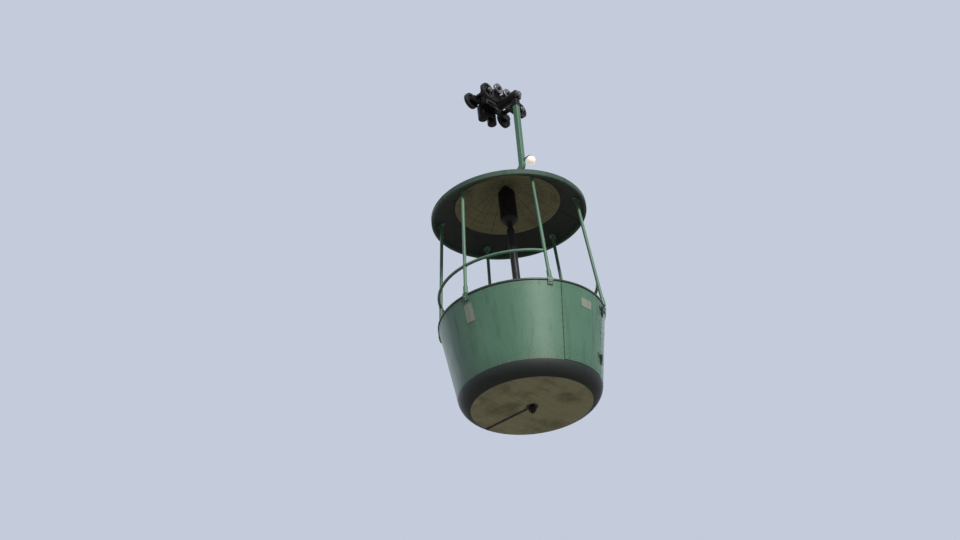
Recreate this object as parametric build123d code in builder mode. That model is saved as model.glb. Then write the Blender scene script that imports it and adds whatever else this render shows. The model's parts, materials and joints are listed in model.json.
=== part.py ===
"""Round open cable car cabin with its hanger and grip carriage.

A conical tub with a door hangs by six splayed posts from a hat-shaped roof. A bent hanger
carries the roof from a four-wheeled grip carriage, and stands beside the grip's axis.
Millimetres. The origin is on the grip's axis in the middle of the jaws, straight above the
cabin's axis. +X is the direction of travel, +Z is up, and the door is on the -Y side.
"""
import os
from math import atan, cos, degrees, radians, sin, sqrt, tan

from build123d import *

os.makedirs("parts", exist_ok=True)

# Heights, counted up from the underside of the floor
grip_height = 3460
rim_height = 906
rail_height = 1225
roof_rim_height = 2107

# Tub
base_radius = 676
pan_run = 106
base_height = 130
rim_radius = 792
wall_thickness = 8
bead_width = 27
bead_height = 22
board_thickness = 20
lip_thickness = 6
lip_width = 53
deck_thickness = 12

# Door
door_angle = 270
door_half_angle = 22
door_gap = 6
hinge_heights = (270, 760)
hinge_offset = 14
hinge_radius = 9
hinge_pin_radius = 4
hinge_half_length = 38
hinge_leaf_length = 58
hinge_leaf_thickness = 5
running_clearance = 0.05
seat_clearance = 0.3
latch_height = 755
latch_width = 60
latch_depth = 22
latch_length = 90
latch_inset = 22
latch_round = 4
pull_height = 770
pull_length = 150
pull_standoff = 34
pull_radius = 7
pull_foot_radius = 5
pull_from_latch = 35
stop_seat_width = 24
stop_overlap = 12
stop_thickness = 6
stop_clearance = 5.5

# Posts and guard rail
post_count = 6
post_radius = 16
post_foot_inset = 2
post_head_radius = 676
post_foot_rise = 85
collar_radius = 22
foot_width = 54
foot_plate = 8
foot_drop = 45
head_pad_radius = 34
head_pad_thickness = 7
rail_tube_radius = 15

# Roof
roof_radius = 762
roof_skin = 7
roof_slope = 29
roof_seat_rise = 8
crown_radius = 260
fascia_height = 60
fascia_thickness = 30
fascia_round = 11
liner_radius = 520
liner_thickness = 5
crown_hole_radius = 32

# Pole down the cabin's axis
pole_radius = 38
neck_radius = 26
stud_radius = 20
barrel_radius = 85
barrel_length = 400
barrel_below_foot = 115
barrel_taper = 44
barrel_end_radius = 51
nut_radius = 34
nut_height = 18
nut_chamfer = 3
sole_plate_radius = 54
sole_plate_thickness = 8
strap_width = 28
strap_thickness = 5

# Benches
bench_half_angle = 50
bench_front_radius = 350
bench_height = 350
bench_board = 18
riser_setback = 40
riser_thickness = 15
cushion_thickness = 70
cushion_round = 16
back_thickness = 46
back_bottom_height = 440
back_below_bead = 84

# Hanger
arm_width = 50
arm_depth = 56
arm_corner = 8
arm_top_offset = 260
arm_bottom_offset = 240
arm_foot_rise = 423
arm_foot_overhang = 46
elbow_radius = 70
eye_radius = 56
eye_width = 66
eye_neck_length = 120
eye_neck_rim = 5
cap_radius = 70
cap_flange_radius = 125
cap_flange_thickness = 12
cap_recess = 14

# Lamp beside the hanger
lamp_radius = 44
lamp_reach = 82
lamp_rise = 53
lamp_drop = 60
lamp_stalk_radius = 7
lamp_cap_radius = 20
lamp_neck_radius = 16
lamp_cap_height = 7

# Grip carriage
jaw_bore_radius = 13
wheel_radius = 86
wheel_width = 44
tread_thickness = 16
tread_inset = 3
tread_round = 5
hub_boss_radius = 30
hub_rim_thickness = 10
web_thickness = 14
web_hole_radius = 8
web_hole_place = 45
web_hole_count = 5
wheel_base = 500
wheel_track = 220
axle_height = -10
axle_radius = 15
axle_cap_radius = 26
axle_cap_width = 12
side_gap = 6
plate_half_gap = 50
plate_thickness = 24
plate_top = 82
plate_bottom = -36
plate_boss_radius = 38
plate_boss_rise = 4
plate_shoulder = 20
window_reach = 165
window_height = 16
window_radius = 20
lug_gap = 6
lug_thickness = 10
lug_width = 44
block_length = 200
block_bottom = 30
jaw_depth = 36
jaw_drop = 10
jaw_split = 6
bridge_reach = 205
bridge_width = 44
bridge_bottom = 20
bridge_top = 44
lever_spacing = 140
lever_thickness = 26
lever_depth = 26
lever_crest = 118
lever_crest_width = 48
lever_tip_height = 36
lever_heel_rise = 26
lever_heel_width = 28
lever_clearance = 5
roller_radius = 60
roller_width = 36
roller_height = 102
roller_side = 113
roller_gap = 2
roller_round = 6
roller_pin_radius = 10
roller_cap_radius = 18
roller_cap_width = 8
barrel_side = 125
spring_radius = 48
spring_bottom = -150
spring_top = 8
spring_rod_radius = 9
spring_round = 12
spring_casting_bottom = -110
spring_casting_top = -6
pivot_height = -40
pivot_pin_radius = 22
pivot_boss_radius = 44
pivot_boss_root_radius = 56
pivot_washer_radius = 40
pivot_washer_width = 10
pivot_nut_radius = 32
pivot_nut_width = 16

# Places worked out from the sizes above
floor_z = -grip_height
rim_z = floor_z + rim_height
base_z = floor_z + base_height
roof_rim_z = floor_z + roof_rim_height
arm_foot_z = roof_rim_z + arm_foot_rise
deck_z = floor_z + board_thickness + lip_thickness + deck_thickness
wall_slope = degrees(atan((rim_radius - base_radius) / (rim_height - base_height)))
wall_level = wall_thickness / cos(radians(wall_slope))
bead_z = rim_z - bead_height
floor_radius = base_radius - pan_run
post_foot_radius = rim_radius - post_foot_inset
gap_angle = degrees(door_gap / 2 / base_radius)
door_start = door_angle - door_half_angle
door_end = door_angle + door_half_angle
dome_edge_radius = roof_radius - fascia_thickness / 2
dome_edge_z = roof_rim_z + roof_seat_rise


def wall_radius(z):
    """Outer radius of the tub's wall at a height."""
    return base_radius + (z - base_z) * tan(radians(wall_slope))


def inner_wall_radius(z):
    """Inner radius of the tub's wall at a height."""
    return wall_radius(z) - wall_level


def radial_plane(angle):
    """Upright plane through the cabin's axis: local X runs outwards and local Y runs up."""
    outwards = (cos(radians(angle)), sin(radians(angle)), 0)
    sideways = (sin(radians(angle)), -cos(radians(angle)), 0)
    return Plane(origin=(0, 0, 0), x_dir=outwards, z_dir=sideways)


def polar(radius, angle, z):
    """Point at a distance and an angle from the cabin's axis."""
    return Vector(radius * cos(radians(angle)), radius * sin(radians(angle)), z)


# Base pan: the turned-under bottom of the tub, with a foot round the floor board
pan_cos = cos(radians(wall_slope))
pan_sin = sin(radians(wall_slope))
pan_arc = (pan_run**2 + base_height**2) / (2 * (pan_run * pan_cos - base_height * pan_sin))
pan_centre = (base_radius - pan_arc * pan_cos, base_z + pan_arc * pan_sin)
lip_z = floor_z + board_thickness


def pan_point(skin, z):
    """Point of the base pan's outer arc, or of the arc one skin inside it, at a height."""
    return (pan_centre[0] + sqrt((pan_arc - skin) ** 2 - (pan_centre[1] - z) ** 2), z)


with BuildPart() as base_pan:
    with BuildSketch(Plane.XZ):
        with BuildLine():
            outer_foot = (floor_radius, floor_z)
            outer_top = (base_radius, base_z)
            inner_top = (base_radius - wall_level, base_z)
            inner_foot = pan_point(wall_thickness, lip_z + lip_thickness)
            ThreePointArc(outer_foot, pan_point(0, floor_z + base_height / 4), outer_top)
            Line(outer_top, inner_top)
            ThreePointArc(inner_top, pan_point(wall_thickness, floor_z + base_height / 2), inner_foot)
            Polyline(inner_foot, (inner_foot[0], lip_z), (floor_radius, lip_z), outer_foot)
        make_face()
    revolve(axis=Axis.Z)
base_pan.part.label = "base_pan"
export_step(base_pan.part, "parts/base_pan.step")

# Floor ring: a flat lip on the pan's foot, which the board is screwed up to
with BuildPart() as floor_ring:
    with BuildSketch(Plane.XY.offset(lip_z)):
        Circle(inner_foot[0] - seat_clearance)
        Circle(floor_radius - lip_width, mode=Mode.SUBTRACT)
    extrude(amount=lip_thickness)
floor_ring.part.label = "floor_ring"
export_step(floor_ring.part, "parts/floor_ring.step")

# Floor board, seen from below, with the hole for the pole's stud
with BuildPart() as floor_board:
    with BuildSketch(Plane.XY.offset(floor_z)):
        Circle(floor_radius - seat_clearance)
        Circle(stud_radius, mode=Mode.SUBTRACT)
    extrude(amount=board_thickness)
floor_board.part.label = "floor_board"
export_step(floor_board.part, "parts/floor_board.step")

# Deck inside the tub, laid on the floor ring
with BuildPart() as deck:
    with BuildSketch(Plane.XY.offset(lip_z + lip_thickness)):
        Circle(inner_foot[0] - seat_clearance)
        Circle(stud_radius, mode=Mode.SUBTRACT)
    extrude(amount=deck_thickness)
deck.part.label = "deck"
export_step(deck.part, "parts/deck.step")


def wall_section(lower_z):
    """Slanting section of the tub's wall, from a height up to the rim bead."""
    return [
        (wall_radius(lower_z), lower_z),
        (wall_radius(bead_z), bead_z),
        (inner_wall_radius(bead_z), bead_z),
        (inner_wall_radius(lower_z), lower_z),
    ]


# Fixed wall of the tub, open on the door's side
fixed_start = door_end + gap_angle
fixed_sweep = 360 - 2 * (door_half_angle + gap_angle)
with BuildPart() as tub_wall:
    with BuildSketch(radial_plane(fixed_start)):
        Polygon(*wall_section(base_z), align=None)
    revolve(axis=Axis.Z, revolution_arc=fixed_sweep)
tub_wall.part.label = "tub_wall"
export_step(tub_wall.part, "parts/tub_wall.step")

# Rounded bead along the top of the fixed wall
bead_centre_radius = wall_radius(bead_z) - wall_level / 2
bead_outer = bead_centre_radius + bead_width / 2
bead_inner = bead_centre_radius - bead_width / 2
with BuildPart() as rim_bead:
    with BuildSketch(radial_plane(fixed_start)):
        with Locations((bead_centre_radius, bead_z + bead_height / 2)):
            RectangleRounded(bead_width, bead_height, bead_height / 3)
    revolve(axis=Axis.Z, revolution_arc=fixed_sweep)
rim_bead.part.label = "rim_bead"
export_step(rim_bead.part, "parts/rim_bead.step")

# Door panel with its own length of bead
door_sweep = 2 * (door_half_angle - gap_angle)
with BuildPart() as door_panel:
    with BuildSketch(radial_plane(door_start + gap_angle)):
        Polygon(*wall_section(base_z + door_gap), align=None)
    revolve(axis=Axis.Z, revolution_arc=door_sweep)
door_panel.part.label = "door_panel"
export_step(door_panel.part, "parts/door_panel.step")

with BuildPart() as door_bead:
    with BuildSketch(radial_plane(door_start + gap_angle)):
        with Locations((bead_centre_radius, bead_z + bead_height / 2)):
            RectangleRounded(bead_width, bead_height, bead_height / 3)
    revolve(axis=Axis.Z, revolution_arc=door_sweep)
door_bead.part.label = "door_bead"
export_step(door_bead.part, "parts/door_bead.step")

# Door hinges: barrels on one slanting line outside the wall, a leaf on the wall and one on the door
hinge_direction = Vector(
    sin(radians(wall_slope)) * cos(radians(door_end)),
    sin(radians(wall_slope)) * sin(radians(door_end)),
    cos(radians(wall_slope)),
)
towards_door = Vector(sin(radians(door_end)), -cos(radians(door_end)), 0)
outwards_at_hinge = hinge_direction.cross(towards_door)


def hinge_plane(height):
    """Plane across the hinge line: local X runs towards the door and local Y outwards."""
    surface = polar(wall_radius(floor_z + height), door_end, floor_z + height)
    return Plane(
        origin=surface + outwards_at_hinge * hinge_offset,
        x_dir=towards_door,
        z_dir=hinge_direction,
    )


def hinge_half(plane, side, bore, surface_radius):
    """One knuckle with its leaf, on the door's side (+1) or the wall's side (-1)."""
    root = hinge_radius / 2
    middle = (root + hinge_leaf_length) / 2

    def leaf_face(along):
        """Local height of the flat leaf's inner face, which touches the curved wall at its middle."""
        fall = middle**2 / 2 / surface_radius + middle / surface_radius * (along - middle)
        return seat_clearance / 2 - hinge_offset - fall

    with BuildPart() as half:
        with BuildSketch(plane):
            Circle(hinge_radius)
            with BuildLine():
                Polyline(
                    (0, root),
                    (side * root, leaf_face(root) + hinge_leaf_thickness),
                    (side * hinge_leaf_length, leaf_face(hinge_leaf_length) + hinge_leaf_thickness),
                    (side * hinge_leaf_length, leaf_face(hinge_leaf_length)),
                    (side * root, leaf_face(root)),
                    (-side * root, -root),
                    (0, root),
                )
            make_face()
            if bore:
                Circle(hinge_pin_radius + running_clearance, mode=Mode.SUBTRACT)
        extrude(amount=hinge_half_length)
    return half.part


with BuildPart() as wall_hinges:
    for height in hinge_heights:
        plane = hinge_plane(height)
        add(hinge_half(plane, -1, bore=False, surface_radius=wall_radius(floor_z + height)))
        with BuildSketch(plane):
            Circle(hinge_pin_radius)
        extrude(amount=2 * hinge_half_length)
wall_hinges.part.label = "wall_hinges"
export_step(wall_hinges.part, "parts/wall_hinges.step")

with BuildPart() as door_hinges:
    for height in hinge_heights:
        upper = hinge_plane(height).offset(hinge_half_length + seat_clearance)
        add(hinge_half(upper, 1, bore=True, surface_radius=wall_radius(upper.origin.Z)))
door_hinges.part.label = "door_hinges"
export_step(door_hinges.part, "parts/door_hinges.step")


def inside_wall(angle, z):
    """Plane flat against the wall's inside: local X runs round it, local Y inwards."""
    inwards = Vector(-cos(radians(angle)), -sin(radians(angle)), 0)
    up_the_wall = Vector(
        sin(radians(wall_slope)) * cos(radians(angle)),
        sin(radians(wall_slope)) * sin(radians(angle)),
        cos(radians(wall_slope)),
    )
    along = inwards.cross(up_the_wall).normalized()
    return Plane(origin=polar(inner_wall_radius(z), angle, z), x_dir=along, z_dir=up_the_wall)


# Door latch: a case inside the door's free edge
latch_z = floor_z + latch_height
latch_radius = inner_wall_radius(latch_z)
latch_sagitta = (latch_width / 2) ** 2 / 2 / latch_radius
latch_angle = door_start + gap_angle + degrees((latch_inset + latch_width / 2) / latch_radius)
with BuildPart() as door_latch:
    with BuildSketch(inside_wall(latch_angle, latch_z)):
        with Locations((0, latch_sagitta + latch_depth / 2 + seat_clearance)):
            RectangleRounded(latch_width, latch_depth, latch_round)
    extrude(amount=latch_length)
door_latch.part.label = "door_latch"
export_step(door_latch.part, "parts/door_latch.step")

# Door pull: a bar on two standoffs inside the door, beside the latch
pull_z = floor_z + pull_height
pull_angle = latch_angle + degrees((latch_width / 2 + pull_from_latch) / latch_radius)
pull_plane = inside_wall(pull_angle, pull_z)
with BuildPart() as door_pull:
    for end in (-1, 1):
        foot = pull_plane.origin + pull_plane.z_dir * (end * pull_length / 2)
        with BuildSketch(Plane(origin=foot + pull_plane.y_dir * seat_clearance, z_dir=pull_plane.y_dir)):
            Circle(pull_foot_radius)
        extrude(amount=pull_standoff - seat_clearance)
    bar_foot = pull_plane.origin - pull_plane.z_dir * (pull_length / 2 + pull_radius)
    with BuildSketch(Plane(origin=bar_foot + pull_plane.y_dir * pull_standoff, z_dir=pull_plane.z_dir)):
        Circle(pull_radius)
    extrude(amount=pull_length + 2 * pull_radius)
door_pull.part.label = "door_pull"
export_step(door_pull.part, "parts/door_pull.step")


def inside_strip(first_angle, last_angle, shallow, deep):
    """Upright strip inside the wall between two angles and two depths from the wall's inner face."""
    low_z = base_z + door_gap
    high_z = bead_z - door_gap
    with BuildPart() as strip:
        with BuildSketch(radial_plane(min(first_angle, last_angle))):
            Polygon(
                (inner_wall_radius(low_z) - shallow, low_z),
                (inner_wall_radius(high_z) - shallow, high_z),
                (inner_wall_radius(high_z) - deep, high_z),
                (inner_wall_radius(low_z) - deep, low_z),
                align=None,
            )
        revolve(axis=Axis.Z, revolution_arc=abs(last_angle - first_angle))
    return strip.part


# Door stops: stepped strips inside the wall's two ends, which reach behind the door's edges
stop_seat_angle = degrees(stop_seat_width / base_radius)
stop_reach_angle = degrees((door_gap + stop_overlap) / base_radius)
with BuildPart() as door_stops:
    for wall_end, towards_middle in ((fixed_start, -1), (door_start - gap_angle, 1)):
        seat_end = wall_end - towards_middle * stop_seat_angle
        free_end = wall_end + towards_middle * stop_reach_angle
        add(inside_strip(wall_end, seat_end, seat_clearance, stop_clearance + stop_thickness))
        add(inside_strip(free_end, seat_end, stop_clearance, stop_clearance + stop_thickness))
door_stops.part.label = "door_stops"
export_step(door_stops.part, "parts/door_stops.step")


def post_line(angle):
    """Start of a post's axis on the rim's level, and its direction up to the roof's rim."""
    foot = polar(post_foot_radius, angle, rim_z)
    head = polar(post_head_radius, angle, roof_rim_z)
    return foot, (head - foot).normalized()


def roof_height(radius, skin):
    """Height of the roof's outside at a radius, or of the surface so many millimetres below it."""
    slope = radians(roof_slope)
    arc = crown_radius / sin(slope)
    crown_edge_z = dome_edge_z + (dome_edge_radius - crown_radius) * tan(slope)
    if radius > crown_radius:
        return crown_edge_z - (radius - crown_radius) * tan(slope) - skin / cos(slope)
    return crown_edge_z - arc * cos(slope) + sqrt((arc - skin) ** 2 - radius**2)


def roof_knee(skin):
    """Point where the roof's straight slope meets its rounded crown, on a lower surface."""
    slope = radians(roof_slope)
    return (
        crown_radius - skin * sin(slope),
        dome_edge_z + (dome_edge_radius - crown_radius) * tan(slope) - skin * cos(slope),
    )


def roof_edge_radius(skin):
    """Radius at which a surface below the roof's outside reaches the level of the roof's edge."""
    return dome_edge_radius - skin / sin(radians(roof_slope))


def roof_shell(top_skin, bottom_skin, hole_radius, outer_radius):
    """Shell of revolution between two surfaces of the roof."""
    with BuildPart() as shell:
        with BuildSketch(Plane.XZ):
            with BuildLine():
                for skin in (top_skin, bottom_skin):
                    start = (hole_radius, roof_height(hole_radius, skin))
                    middle = (crown_radius / 2, roof_height(crown_radius / 2, skin))
                    ThreePointArc(start, middle, roof_knee(skin))
                if outer_radius is None:
                    top_end = (roof_edge_radius(top_skin), dome_edge_z)
                    bottom_end = (roof_edge_radius(bottom_skin), dome_edge_z)
                else:
                    top_end = (outer_radius, roof_height(outer_radius, top_skin))
                    bottom_end = (outer_radius, roof_height(outer_radius, bottom_skin))
                Line(roof_knee(top_skin), top_end)
                Line(roof_knee(bottom_skin), bottom_end)
                Line(top_end, bottom_end)
                Line(
                    (hole_radius, roof_height(hole_radius, top_skin)),
                    (hole_radius, roof_height(hole_radius, bottom_skin)),
                )
            make_face()
        revolve(axis=Axis.Z)
    return shell.part


# Roof: a rounded crown and six sloping sheets that meet half-way between the posts
sheet_angle = 360 / post_count
with BuildPart() as roof:
    add(roof_shell(0, roof_skin, crown_hole_radius, None))
    with BuildSketch(Plane.XY.offset(dome_edge_z)):
        Circle(crown_radius + seat_clearance / 2)
        Circle(crown_radius - seat_clearance / 2, mode=Mode.SUBTRACT)
        with PolarLocations((crown_radius + roof_radius) / 2, post_count, start_angle=sheet_angle / 2):
            Rectangle(roof_radius - crown_radius, seat_clearance)
    extrude(amount=roof_radius, mode=Mode.SUBTRACT)
roof.part.label = "roof"
export_step(roof.part, "parts/roof.step")

# Fascia: a deep rounded band that the roof's sheets are let into
with BuildPart() as roof_rim:
    with BuildSketch(Plane.XZ):
        with Locations((roof_radius - fascia_thickness / 2, roof_rim_z)):
            RectangleRounded(fascia_thickness, fascia_height, fascia_round)
    revolve(axis=Axis.Z)
    add(roof_shell(0, roof_skin, crown_hole_radius, None), mode=Mode.SUBTRACT)
roof_rim.part.label = "roof_rim"
export_step(roof_rim.part, "parts/roof_rim.step")

# Ceiling liner under the middle of the roof
with BuildPart() as ceiling_liner:
    add(roof_shell(roof_skin, roof_skin + liner_thickness, neck_radius + 2, liner_radius))
ceiling_liner.part.label = "ceiling_liner"
export_step(ceiling_liner.part, "parts/ceiling_liner.step")

# Everything below the roof's skin, used to trim what stands up against it
with BuildPart() as under_roof:
    with BuildSketch(Plane.XZ):
        with BuildLine():
            crown_point = (0, roof_height(0, roof_skin))
            middle = (crown_radius / 2, roof_height(crown_radius / 2, roof_skin))
            ThreePointArc(crown_point, middle, roof_knee(roof_skin))
            Polyline(
                roof_knee(roof_skin),
                (roof_edge_radius(roof_skin), dome_edge_z),
                (post_foot_radius + roof_radius, dome_edge_z),
                (post_foot_radius + roof_radius, floor_z),
                (0, floor_z),
                crown_point,
            )
        make_face()
    revolve(axis=Axis.Z)

# Six splayed posts, each with a round pad screwed up against the roof's skin
roof_normal_lean = 90 - roof_slope
for number in range(post_count):
    angle = number * 360 / post_count
    foot, direction = post_line(angle)
    pad_point = polar(post_head_radius, angle, roof_height(post_head_radius, roof_skin))
    pad_normal = Vector(
        cos(radians(roof_normal_lean)) * cos(radians(angle)),
        cos(radians(roof_normal_lean)) * sin(radians(angle)),
        sin(radians(roof_normal_lean)),
    )
    with BuildPart() as post:
        with BuildSketch(Plane(origin=foot + direction * post_foot_rise, z_dir=direction)):
            Circle(post_radius)
        extrude(amount=roof_rim_height - rim_height + 2 * post_foot_rise)
        with BuildSketch(Plane(origin=pad_point - pad_normal * head_pad_thickness, z_dir=pad_normal)):
            Circle(head_pad_radius)
        extrude(amount=head_pad_thickness * 2)
        add(under_roof.part, mode=Mode.INTERSECT)
    post.part.label = f"post_{number + 1}"
    export_step(post.part, f"parts/post_{number + 1}.step")

# Post feet: saddles over the rim bead, with a collar under each post
foot_low_z = bead_z - foot_drop
with BuildPart() as post_foot:
    with BuildSketch(Plane.XZ.offset(-foot_width / 2)):
        Polygon(
            (wall_radius(foot_low_z) + seat_clearance, foot_low_z),
            (wall_radius(bead_z) + seat_clearance, bead_z - seat_clearance),
            (bead_outer + seat_clearance, bead_z - seat_clearance),
            (bead_outer + seat_clearance, rim_z + seat_clearance),
            (bead_inner, rim_z + seat_clearance),
            (bead_inner, rim_z + foot_plate),
            (bead_outer + foot_plate, rim_z + foot_plate),
            (bead_outer + foot_plate, bead_z),
            (wall_radius(foot_low_z) + foot_plate, foot_low_z),
            align=None,
        )
    extrude(amount=foot_width)
    foot, direction = post_line(0)
    with BuildSketch(Plane(origin=foot + direction * post_foot_rise, z_dir=direction)):
        Circle(collar_radius)
    extrude(amount=-(post_foot_rise - foot_plate / 2))
with BuildPart() as post_feet:
    with PolarLocations(0, post_count):
        add(post_foot.part)
post_feet.part.label = "post_feet"
export_step(post_feet.part, "parts/post_feet.step")

# Guard rail: five curved tubes between the posts, with none across the doorway
rail_z = floor_z + rail_height
rail_share = (rail_height - rim_height) / (roof_rim_height - rim_height)
rail_radius = post_foot_radius + rail_share * (post_head_radius - post_foot_radius)
bay = 360 / post_count
rail_start = door_angle + bay / 2
with BuildPart() as guard_rail:
    with BuildSketch(radial_plane(rail_start)):
        with Locations((rail_radius, rail_z)):
            Circle(rail_tube_radius)
    revolve(axis=Axis.Z, revolution_arc=360 - bay)
    for number in range(post_count):
        foot, direction = post_line(number * bay)
        with BuildSketch(Plane(origin=foot, z_dir=direction)):
            Circle(post_radius + seat_clearance)
        extrude(amount=2 * (rail_height - rim_height), mode=Mode.SUBTRACT)
guard_rail.part.label = "guard_rail"
export_step(guard_rail.part, "parts/guard_rail.step")

# Pole on the cabin's axis, from the floor up to the roof cap, with its spring barrel under the crown
barrel_top_z = arm_foot_z - barrel_below_foot
barrel_z = barrel_top_z - barrel_length
cap_top_z = arm_foot_z - arm_depth / 2
pole_top_z = cap_top_z - cap_recess
with BuildPart() as pole:
    with BuildSketch(Plane.XZ):
        Polygon(
            (0, floor_z - sole_plate_thickness),
            (stud_radius, floor_z - sole_plate_thickness),
            (stud_radius, deck_z),
            (pole_radius, deck_z),
            (pole_radius, barrel_z - barrel_taper - pole_radius),
            (neck_radius, barrel_z - barrel_taper),
            (neck_radius, barrel_z),
            (0, barrel_z),
            align=None,
        )
    revolve(axis=Axis.Z)
pole.part.label = "pole"
export_step(pole.part, "parts/pole.step")

with BuildPart() as spring_barrel:
    with BuildSketch(Plane.XZ):
        Polygon(
            (0, barrel_z),
            (barrel_end_radius, barrel_z),
            (barrel_radius, barrel_z + barrel_taper),
            (barrel_radius, barrel_top_z - barrel_taper),
            (barrel_end_radius, barrel_top_z),
            (neck_radius, barrel_top_z),
            (neck_radius, pole_top_z),
            (0, pole_top_z),
            align=None,
        )
    revolve(axis=Axis.Z)
    fillet(spring_barrel.edges().filter_by(GeomType.CIRCLE).group_by(SortBy.RADIUS)[-1], barrel_taper / 2)
spring_barrel.part.label = "spring_barrel"
export_step(spring_barrel.part, "parts/spring_barrel.step")

# Sole plate and nut that hold the floor up on the pole
with BuildPart() as sole_plate:
    with BuildSketch(Plane.XY.offset(floor_z - sole_plate_thickness)):
        Circle(sole_plate_radius)
        Circle(stud_radius, mode=Mode.SUBTRACT)
    extrude(amount=sole_plate_thickness)
sole_plate.part.label = "sole_plate"
export_step(sole_plate.part, "parts/sole_plate.step")

with BuildPart() as floor_nut:
    with BuildSketch(Plane.XY.offset(floor_z - sole_plate_thickness)):
        RegularPolygon(nut_radius, 6)
    extrude(amount=-nut_height)
    chamfer(floor_nut.faces().sort_by(Axis.Z)[0].edges(), nut_chamfer)
floor_nut.part.label = "floor_nut"
export_step(floor_nut.part, "parts/floor_nut.step")

# Flat strap under the floor, from the sole plate out to the pan, opposite the door
with BuildPart() as floor_strap:
    with BuildSketch(Plane.XY.offset(floor_z)):
        with Locations((0, (sole_plate_radius + floor_radius) / 2)):
            Rectangle(strap_width, floor_radius - sole_plate_radius - 2 * seat_clearance)
    extrude(amount=-strap_thickness)
floor_strap.part.label = "floor_strap"
export_step(floor_strap.part, "parts/floor_strap.step")

# Two curved benches against the wall, ahead and behind
bench_top_z = floor_z + bench_height
bench_low_z = bench_top_z - bench_board
bench_outer = inner_wall_radius(bench_low_z) - seat_clearance
riser_radius = bench_front_radius + riser_setback
cushion_outer = bench_outer - back_thickness / 2
back_low_z = floor_z + back_bottom_height
back_high_z = bead_z - back_below_bead
back_level = back_thickness / cos(radians(wall_slope))
for side, middle_angle in (("front", 0), ("rear", 180)):
    start_plane = radial_plane(middle_angle - bench_half_angle)
    with BuildPart() as bench:
        with BuildSketch(start_plane):
            Polygon(
                (riser_radius, deck_z),
                (riser_radius + riser_thickness, deck_z),
                (riser_radius + riser_thickness, bench_low_z),
                (bench_outer, bench_low_z),
                (bench_outer, bench_top_z),
                (bench_front_radius, bench_top_z),
                (bench_front_radius, bench_low_z),
                (riser_radius, bench_low_z),
                align=None,
            )
        revolve(axis=Axis.Z, revolution_arc=2 * bench_half_angle)
    bench.part.label = f"{side}_bench"
    export_step(bench.part, f"parts/{side}_bench.step")

    with BuildPart() as cushion:
        with BuildSketch(start_plane):
            with Locations(((bench_front_radius + cushion_outer) / 2, bench_top_z + cushion_thickness / 2)):
                RectangleRounded(cushion_outer - bench_front_radius, cushion_thickness, cushion_round)
        revolve(axis=Axis.Z, revolution_arc=2 * bench_half_angle)
    cushion.part.label = f"{side}_cushion"
    export_step(cushion.part, f"parts/{side}_cushion.step")

    with BuildPart() as back:
        with BuildSketch(start_plane):
            Polygon(
                (inner_wall_radius(back_low_z) - seat_clearance, back_low_z),
                (inner_wall_radius(back_high_z) - seat_clearance, back_high_z),
                (inner_wall_radius(back_high_z) - back_level, back_high_z),
                (inner_wall_radius(back_low_z) - back_level, back_low_z),
                align=None,
            )
        revolve(axis=Axis.Z, revolution_arc=2 * bench_half_angle)
    back.part.label = f"{side}_backrest"
    export_step(back.part, f"parts/{side}_backrest.step")

# Roof cap: a flanged boss on the crown that joins the hanger to the pole
with BuildPart() as roof_cap:
    with BuildSketch(Plane.XZ):
        with BuildLine():
            arc_start = (neck_radius, roof_height(neck_radius, 0))
            arc_middle = (cap_flange_radius / 2, roof_height(cap_flange_radius / 2, 0))
            arc_end = (cap_flange_radius, roof_height(cap_flange_radius, 0))
            flange_lip = (cap_flange_radius, arc_end[1] + cap_flange_thickness)
            ThreePointArc(arc_start, arc_middle, arc_end)
            Polyline(
                arc_end,
                flange_lip,
                (cap_radius, roof_height(cap_radius, 0) + cap_flange_thickness),
                (cap_radius, cap_top_z),
                (0, cap_top_z),
                (0, pole_top_z),
                (neck_radius, pole_top_z),
                arc_start,
            )
        make_face()
    revolve(axis=Axis.Z)
roof_cap.part.label = "roof_cap"
export_step(roof_cap.part, "parts/roof_cap.step")

# Hanger arm: a rounded box section, bent in at its foot to lie on the roof cap
eye_bottom_z = pivot_height - eye_neck_length
arm_lean = (arm_top_offset - arm_bottom_offset) / (pivot_height - arm_foot_z)
arm_start_y = -arm_top_offset + arm_lean * eye_neck_length
with BuildPart() as hanger_arm:
    with BuildLine(Plane.YZ) as arm_path:
        FilletPolyline(
            (arm_start_y, eye_bottom_z),
            (-arm_bottom_offset, arm_foot_z),
            (arm_foot_overhang, arm_foot_z),
            radius=elbow_radius,
        )
    with BuildSketch(Plane(origin=arm_path.line @ 0, x_dir=(1, 0, 0), z_dir=arm_path.line % 0)):
        RectangleRounded(arm_width, arm_depth, arm_corner)
    sweep(path=arm_path.line)
hanger_arm.part.label = "hanger_arm"
export_step(hanger_arm.part, "parts/hanger_arm.step")

# Hanger eye: the forged head that turns on the carriage's pivot pin
with BuildPart() as hanger_eye:
    with BuildSketch(Plane.XZ.offset(arm_top_offset - eye_width / 2)):
        with Locations((0, pivot_height)):
            Circle(eye_radius)
    extrude(amount=eye_width)
    neck_plane = Plane(origin=(0, arm_start_y, eye_bottom_z), x_dir=(1, 0, 0), z_dir=-(arm_path.line % 0))
    with BuildSketch(neck_plane):
        RectangleRounded(arm_width + 2 * eye_neck_rim, arm_depth + 2 * eye_neck_rim, arm_corner)
    extrude(amount=eye_neck_length)
    with BuildSketch(Plane.XZ.offset(arm_top_offset - eye_width)):
        with Locations((0, pivot_height)):
            Circle(pivot_pin_radius + running_clearance)
    extrude(amount=2 * eye_width, mode=Mode.SUBTRACT)
hanger_eye.part.label = "hanger_eye"
export_step(hanger_eye.part, "parts/hanger_eye.step")

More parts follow.
